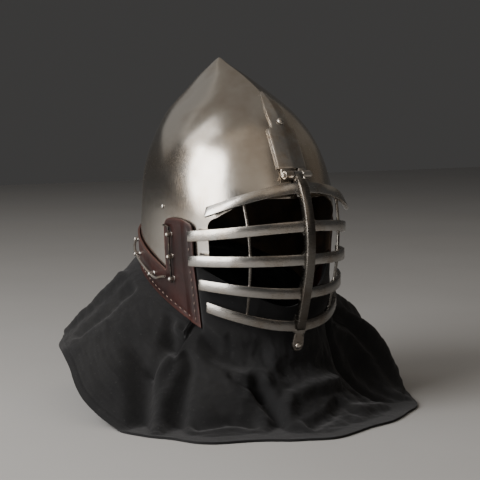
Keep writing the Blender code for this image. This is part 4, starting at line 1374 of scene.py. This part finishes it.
def tongue():
    # the flat tab under the lowest bar, with a round end
    form = visorForm
    half = form["tabWidth"] / 2
    start = form["bars"][-1][1] - 0.01
    endZ = hingeForm["pinHeight"] - form["drop"]
    startZ = hingeForm["pinHeight"] - form["drop"] * start
    length = startZ - endZ
    work = barStock(length, form["tabWidth"], form["tabThickness"], form["tabEdge"], 29)
    for vertex in work.verts:
        run = vertex.co.x / length
        z = startZ + (endZ - startZ) * run
        wide = vertex.co.z * (form["tabNeck"] + form["tabFlare"] * ease(run / 0.75))
        below = max(endZ + half - z, 0.0) / half
        wide *= math.sqrt(max(1 - (below * 0.985) ** 2, 0.0))
        share = (hingeForm["pinHeight"] - z) / form["drop"]
        vertex.co = centreLine(share) + Vector((wide, -vertex.co.y, 0.0))
    return closed(work)


def innerRod(side):
    form = visorForm
    points = []
    for index, row in enumerate(form["bars"]):
        halfWidth, _, _, _, turn = barArc(row)
        offset = form["rodOffset"] + form["rodLean"] * (1 - 2 * index / (len(form["bars"]) - 1))
        share = side * math.asin(offset / halfWidth) / turn
        centre, outward = barPoint(row, share)
        points.append(centre - outward * (form["barThickness"] / 2 + form["rodRadius"] * 0.5))
    work = tube(14, 96)
    for vertex in work.verts:
        run = vertex.co.z * (len(points) - 1)
        index = min(int(run), len(points) - 2)
        part = run - index
        centre = points[index].lerp(points[index + 1], part)
        reach = min(part, 1 - part) * (points[index] - points[index + 1]).length
        weld = max(1 - reach / form["rodFootLength"], 0.0)
        radius = form["rodRadius"] + form["rodFoot"] * weld * weld
        vertex.co = centre + Vector((vertex.co.x * radius, vertex.co.y * radius, 0.0))
    ends = [e for e in work.edges if e.is_boundary]
    bmesh.ops.holes_fill(work, edges=ends, sides=0)
    return closed(work)


def buildVisor():
    form = visorForm
    work = bmesh.new()
    for row in form["bars"]:
        mergeInto(work, crossBar(row))
        mergeInto(work, weldFillets(row))
    crossFaces = len(work.faces)
    mergeInto(work, centreBar())
    for side in (-1.0, 1.0):
        mergeInto(work, innerRod(side))
    paintedShadeFacesEnd = len(work.faces)
    mergeInto(work, tongue())
    radius, width = hingeForm["knuckleRadius"], hingeForm["eyeWidth"]
    eye = turned([(0.0, 0.0), (radius, 0.0), (radius, width), (0.0, width)], 32)
    mergeInto(work, stood(eye, pinCentre() - Vector((width / 2, 0, 0)), (1, 0, 0)))
    # the middle bar and the inner rods take the darker steel, which is painted shade
    for index, face in enumerate(work.faces):
        face.material_index = int(crossFaces <= index < paintedShadeFacesEnd)
    grill = addPiece("visorGrill", work, barSteel, 24.0)
    grill.data.materials.append(paintedShadeMiddleSteel)
    place(grill, "visor", "forged_steel", "visor_grill")
    share = 1 - form["studFromEnd"] / form["drop"]
    along = centreLine(share + 0.015) - centreLine(share - 0.015)
    face = Vector((0.0, along.z, -along.y)).normalized()
    seat = centreLine(share) + Vector((0.0, -form["tabThickness"] / 2, 0.0)) + face * 0.0003
    roundRivet("tabStud", "tab_stud", "visor", seat, face, form["studSize"])


buildVisor()
print("visor welded")


# the aventail: a cloth cape that drops from the leather and spreads on the table
capeForm = {
    "reach": 0.242,
    "wall": 0.0026,
    "throatRadius": 0.119,
    "throatHeight": 0.133,
    "throatPower": 1.6,
    "chinGap": 0.003,
    "fold": 0.012,
    "lift": 0.072,  # the hem is held up behind the wearer's right side
    "liftAngle": 112.0,
    "liftSpread": 34.0,
    "columns": 340,
    "rows": 120,
    "tuck": 0.0062,  # how far it runs up behind the leather
    "tuckFall": 5.5,  # degrees behind the leather's front edge in which its top drops
    "wrinkle": 0.0020,
    "wrinkleScale": 8.0,
    "edgeRound": 0.0011,
    "barAngle": 62.0,  # the bars hang close in front above barDown, so no bulge is let out there
    "barDown": 0.26,
    "cornerSlope": 1.3,  # how fast the cloth may leave the leather at its sewn corner, and elsewhere
    "freeSlope": 4.0,
    "cornerWidth": (4.0, 12.0),
    # hem in plan: degrees from the face towards the wearer's right, and reach
    "hem": [
        (-180, 1.005), (-150, 0.965), (-120, 0.935), (-90, 0.93), (-55, 0.92), (-25, 0.945),
        (10, 1), (44, 1), (60, 0.98), (75, 0.925), (90, 0.92), (120, 0.92),
        (150, 0.96), (180, 1.005),
    ],
    # angle, width, push, start and slant of each standing fold
    "folds": [
        (14, 13, 0.6, 0.45, -6), (-22, 14, -0.45, 0.4, 8), (-47, 12, 0.5, 0.45, -5),
        (-78, 13, -0.6, 0.25, -8), (-104, 14, 0.5, 0.25, 0), (-133, 15, -0.6, 0.25, -6),
        (-160, 14, 0.5, 0.2, 0), (163, 15, -0.6, 0.25, -5), (140, 13, 0.5, 0.3, 0),
        (84, 12, 0.6, 0.2, 0), (68, 9, -0.35, 0.15, -10), (54, 10, 0.6, 0.4, -6),
        (36, 12, -0.6, 0.4, -4),
    ],
    # angle, and the bend's place out and down between the neck and the hem
    "bends": [
        (-180, 0.7, 0.35), (-110, 0.9, 0.3), (-74, 0.92, 0.3), (-61, 0.03, 0.92),
        (-20, 0.03, 0.92), (20, 0.03, 0.92), (58, 0.03, 0.92), (76, 0.45, 0.52),
        (112, 0.52, 0.46), (150, 0.64, 0.4), (180, 0.7, 0.35),
    ],
    # ridges and hollows: depth and half width in millimetres, and the line as angle and share down
    "creases": [
        (-8, 6, [(76, 0.12), (72.5, 0.36), (75, 0.52)]),
        (-15, 12, [(79, 0.5), (72.5, 0.7), (65, 1)]),
        (9, 9, [(70.5, 0.36), (67.5, 0.66), (63, 0.96)]),
        (-7.5, 8, [(62.5, 0.42), (59.5, 0.7), (57, 0.96)]),
        (5, 6, [(73, 0.14), (60, 0.16), (48, 0.2)]),
        (-11, 12, [(69, 0.25), (60, 0.27), (48.5, 0.3), (36, 0.31), (23, 0.27)]),
        (8, 9.5, [(64, 0.32), (52, 0.4), (43, 0.43), (24.5, 0.43)]),
        (-5.5, 4, [(42, 0.44), (34, 0.49), (26, 0.54)]),
        (8, 18, [(57, 0.64), (47.7, 0.58), (38, 0.6)]),
        (-5.5, 6, [(52, 0.8), (43, 0.74), (33, 0.78)]),
        (-13, 10.5, [(29, 0.46), (22, 0.7), (25, 0.9)]),
        (7.5, 9, [(19, 0.7), (12, 0.56), (-3, 0.5), (-30, 0.52)]),
        (-7, 12, [(10, 0.36), (-12, 0.33), (-30, 0.4)]),
        (-6, 8, [(10, 0.8), (-6, 0.74), (-18, 0.68)]),
        (6, 8.5, [(-24, 0.78), (-33, 0.8), (-42, 0.84)]),
        (-8, 10, [(-48, 0.22), (-46, 0.48), (-50, 0.8)]),
        (6.5, 11, [(-62, 0.2), (-64, 0.55), (-60, 0.95)]),
        (-8, 11, [(-79, 0.25), (-84, 0.6), (-82, 0.98)]),
        (6, 6, [(-96, 0.15), (-101, 0.55), (-99, 0.9)]),
        (-7.5, 10, [(-112, 0.22), (-117, 0.62), (-115, 1)]),
        (7, 12, [(-134, 0.2), (-131, 0.6), (-133, 0.96)]),
        (-8, 10, [(-149, 0.2), (-153, 0.6), (-151, 1)]),
        (6, 10, [(-170, 0.18), (-167, 0.6), (-170, 0.94)]),
        (-8, 11, [(173, 0.22), (170, 0.6), (173, 1)]),
        (6.5, 10, [(157, 0.2), (153, 0.6), (155, 0.92)]),
        (-8, 11, [(137, 0.2), (133, 0.62), (136, 1)]),
        (6, 9, [(121, 0.22), (118, 0.58), (120, 0.9)]),
        (-6.5, 9, [(106, 0.2), (103, 0.5), (105, 0.78)]),
        (-5, 5, [(150, 0.3), (160, 0.44), (171, 0.5)]),
        (-5, 5, [(-140, 0.34), (-128, 0.46), (-119, 0.6)]),
    ],
    "seamInset": 0.012,
    "seamWidth": 0.0016,
    "seamDepth": 0.0010,
    "turnUp": 0.0006,
    "hemLength": 0.20,  # metres of cloth from top to hem, about
}


def capeTop(angle):
    # low at the throat, then up to the chin and behind the leather
    form, front = capeForm, leatherForm["frontAngle"]
    near = abs(angle)
    chin = skullForm["chinHeight"] - skullForm["chinSlope"] - form["chinGap"]
    if near < front:
        return form["throatHeight"] + (chin - form["throatHeight"]) * (near / front) ** form["throatPower"]
    behind = leatherLow(near) + form["tuck"]
    return behind + (chin - behind) * (1 - ease((near - front) / form["tuckFall"]))


def hemHeight(angle):
    form = capeForm
    return form["lift"] * ease(1.25 - abs((angle - form["liftAngle"]) / form["liftSpread"]))


def capePlace(angle, down, radius, top, hem, foot):
    # reach and height of the cloth, a share of the way down at an angle
    form = capeForm
    out, fall = smoothRow(form["bends"], angle)
    bend = 2 * down * (1 - down)
    reach = radius + (hem - radius) * (bend * out + down * down)
    height = top + (foot - top) * (bend * fall + down * down)
    for foldAngle, width, push, start, slant in form["folds"]:
        away = (angle - foldAngle - slant * down + 180.0) % 360.0 - 180.0
        if abs(away) < width:
            bulge = form["fold"] * push * math.cos(math.pi / 2 * away / width) ** 2
            reach += bulge * ease((down - start) / 0.5)
    return reach, height


def creaseDepth(angle, down):
    # the sum of all ridges and hollows near a place on the cloth
    total = 0.0
    girth = math.radians(1.0) * (0.13 + 0.11 * down)
    drop = capeForm["hemLength"]
    for depth, width, line in capeForm["creases"]:
        reach = width / 1000 * 2.2
        nearest = reach
        for start, stop in zip(line, line[1:]):
            turn = (start[0] - angle + 180.0) % 360.0 - 180.0
            away = Vector((turn * girth, (start[1] - down) * drop))
            if abs(away.x) > 0.09:
                continue
            along = Vector(((stop[0] - start[0]) * girth, (stop[1] - start[1]) * drop))
            share = clamp(-away.dot(along) / along.length_squared)
            nearest = min(nearest, (away + along * share).length)
        if nearest < reach:
            total += depth / 1000 * (1 - (nearest / reach) ** 2) ** 3
    return total


def clothLimit(angle, height):
    # the cloth stays behind the leather, and may spread below it and before it
    form, near, front = capeForm, abs(angle), leatherForm["frontAngle"]
    edge = front - leatherSweep(front, height)
    across = roundSkull(max(edge - near, 0.0))
    below = max(leatherLow(max(near, edge)) - height, 0.0)
    inside = skullPoint(angle, height)
    # it leaves the leather gently at the sewn corner and freely elsewhere
    start, stop = form["cornerWidth"]
    free = ease((abs(near - edge - 1.0) - start) / (stop - start))
    slope = form["cornerSlope"] + (form["freeSlope"] - form["cornerSlope"]) * free
    return math.hypot(inside.x, inside.y) + slope * math.hypot(across, below)


def clothPush(angle, down):
    # how far creases, wrinkles and the sewn hem stand out of the cloth's fall
    form = capeForm
    turn = math.radians(angle)
    where = Vector((math.sin(turn), math.cos(turn), down))
    wrinkle = form["wrinkle"] * noise.fractal(where * form["wrinkleScale"], 0.8, 2.1, 4)
    push = creaseDepth(angle, down) + wrinkle * ease(down / 0.3)
    if abs(angle) < form["barAngle"] and down < form["barDown"]:
        push = min(push, 0.0)
    push *= ease(down / 0.14) * (1 - 0.45 * ease((down - 0.90) / 0.10))
    # the hem is turned under and sewn
    inset = form["seamInset"] - (1 - down) * form["hemLength"]
    push += form["turnUp"] * ease(inset / 0.002)
    return push - form["seamDepth"] * math.exp(-(inset / form["seamWidth"]) ** 2)


def clothPoint(angle, down):
    form, near, front = capeForm, abs(angle), leatherForm["frontAngle"]
    top = capeTop(angle)
    out = leatherForm["gap"] + leatherForm["thickness"]
    start = skullPoint(angle, top, out)
    radius = math.hypot(start.x, start.y)
    if near < front:
        edge = skullPoint(front, top, out)
        pull = ease(near / front)
        radius = form["throatRadius"] + (math.hypot(edge.x, edge.y) - form["throatRadius"]) * pull
    heading = math.atan2(-start.x, -start.y)
    hem = form["reach"] * smoothRow(form["hem"], math.degrees(heading))[0]
    foot = hemHeight(angle)
    reach, height = capePlace(angle, down, radius, top, hem, foot)
    ahead = capePlace(angle, down + 0.02, radius, top, hem, foot)
    slope = Vector((ahead[0] - reach, ahead[1] - height)).normalized()
    push = clothPush(angle, down)
    height += slope.x * push
    reach = min(reach - slope.y * push, clothLimit(angle, height))
    height = max(height, form["wall"] + 0.0004 + (1 - down) * 0.002)  # the hem doesn't sink into the table
    return Vector((-math.sin(heading) * reach, -math.cos(heading) * reach, height))


def buildCape():
    form = capeForm
    work = tube(form["columns"], form["rows"])
    uv = work.loops.layers.uv.new("cloth")
    for vertex in work.verts:
        vertex.co.x, vertex.co.y = math.degrees(math.atan2(-vertex.co.x, -vertex.co.y)), 0.0
    girth = math.tau * (form["reach"] * 0.75)
    for face in work.faces:
        angles = [loop.vert.co.x for loop in face.loops]
        wrap = max(angles) - min(angles) > 180.0
        for loop in face.loops:
            angle = loop.vert.co.x
            if wrap and angle < 0:
                angle += 360.0
            loop[uv].uv = (girth * angle / 360.0, loop.vert.co.z * 0.17)
    for vertex in work.verts:
        vertex.co = clothPoint(vertex.co.x, 1 - vertex.co.z)
    facingOut(work)
    area = sum(face.calc_area() for face in work.faces)
    cape = addPiece("aventailCape", work, woolCloth, 70.0)
    thicken(cape, form["wall"], -1.0)
    roundEdges(cape, form["edgeRound"], 2, 60.0)
    applyModifiers(cape, 70.0)
    place(cape, "helmet", "black_cloth", "aventail_cape")
    print("cloth area", round(area, 4))
    return cape


buildCape()
print("cape draped")


def setStage():
    # a plain pale table, soft studio light and the camera
    material, shader = newMaterial("paleTable", (0.52, 0.51, 0.50), 0.6)
    cloud = noiseField(material, objectPlace(material), 3.0, 3.0, 0.5)
    colour = mixColours(material, cloud, (0.49, 0.48, 0.47), (0.55, 0.54, 0.53))
    dress(material, shader, {"Base Color": colour})
    floor = bmesh.new()
    bmesh.ops.create_grid(floor, x_segments=2, y_segments=2, size=4.0)
    table = addPiece("table", floor, material)
    world = bpy.data.worlds.new("studio")
    bpy.context.scene.world = world
    world.use_nodes = True
    background = world.node_tree.nodes["Background"]
    background.inputs["Color"].default_value = (0.50, 0.49, 0.48, 1.0)
    background.inputs["Strength"].default_value = 0.10
    lights = [
        # name, size across and up, watts, colour, place, aimed at
        ("windowLeft", (1.4, 1.9), 74.0, (1.0, 0.985, 0.96), (-2.08, -0.24, 1.05), (0.0, 0.0, 0.25)),
        ("front", (1.5, 0.8), 1.8, (1.0, 0.88, 0.74), (0.15, -2.05, 1.15), (0.0, 0.0, 0.25)),
        ("highWindow", (1.0, 1.2), 7.0, (1.0, 0.985, 0.96), (-1.43, 0.60, 2.12), (0.0, 0.0, 0.3)),
        ("ceiling", (3.6, 3.6), 7.0, (1.0, 0.90, 0.77), (0.0, 0.5, 2.9), (0.0, 0.0, 0.3)),
        ("warmPanel", (2.4, 1.9), 5.0, (1.0, 0.86, 0.70), (-0.98, -1.42, 2.05), (0.0, 0.0, 0.3)),
        ("backPanel", (3.2, 1.7), 4.2, (1.0, 0.96, 0.90), (-0.4, 2.6, 2.0), (0.0, 0.0, 0.3)),
        ("rightPanel", (2.0, 1.6), 0.8, (1.0, 0.86, 0.66), (2.4, 0.4, 1.5), (0.0, 0.0, 0.3)),
    ]
    for name, (wide, high), power, tint, spot, target in lights:
        data = bpy.data.lights.new(name, "AREA")
        data.shape = "RECTANGLE"
        data.size, data.size_y = wide, high
        data.energy = power
        data.color = tint
        lamp = addObject(name, data)
        lamp.location = spot
        lamp.rotation_euler = (Vector(target) - Vector(spot)).to_track_quat("-Z", "Y").to_euler()


# the photo is taken from the wearer's right, a little above the brow
cameraForm = {
    "turn": -33.0,
    "pitch": 5.8,
    "distance": 1.90,
    "height": 0.396,
    "shift": -0.005,
    "lens": 114.0,
}


def setCamera():
    form = cameraForm
    turn, pitch = math.radians(form["turn"]), math.radians(form["pitch"])
    back = Vector((math.sin(turn), -math.cos(turn), 0.0))
    right = Vector((math.cos(turn), math.sin(turn), 0.0))
    data = bpy.data.cameras.new("photoCamera")
    data.lens = form["lens"]
    data.sensor_width = 36.0
    data.clip_start = 0.05
    camera = addObject("photoCamera", data)
    camera.location = back * form["distance"] - right * form["shift"] + Vector((0, 0, form["height"]))
    aim = -back * math.cos(pitch) - Vector((0, 0, math.sin(pitch)))
    camera.rotation_euler = aim.to_track_quat("-Z", "Y").to_euler()
    bpy.context.scene.camera = camera


setStage()
setCamera()
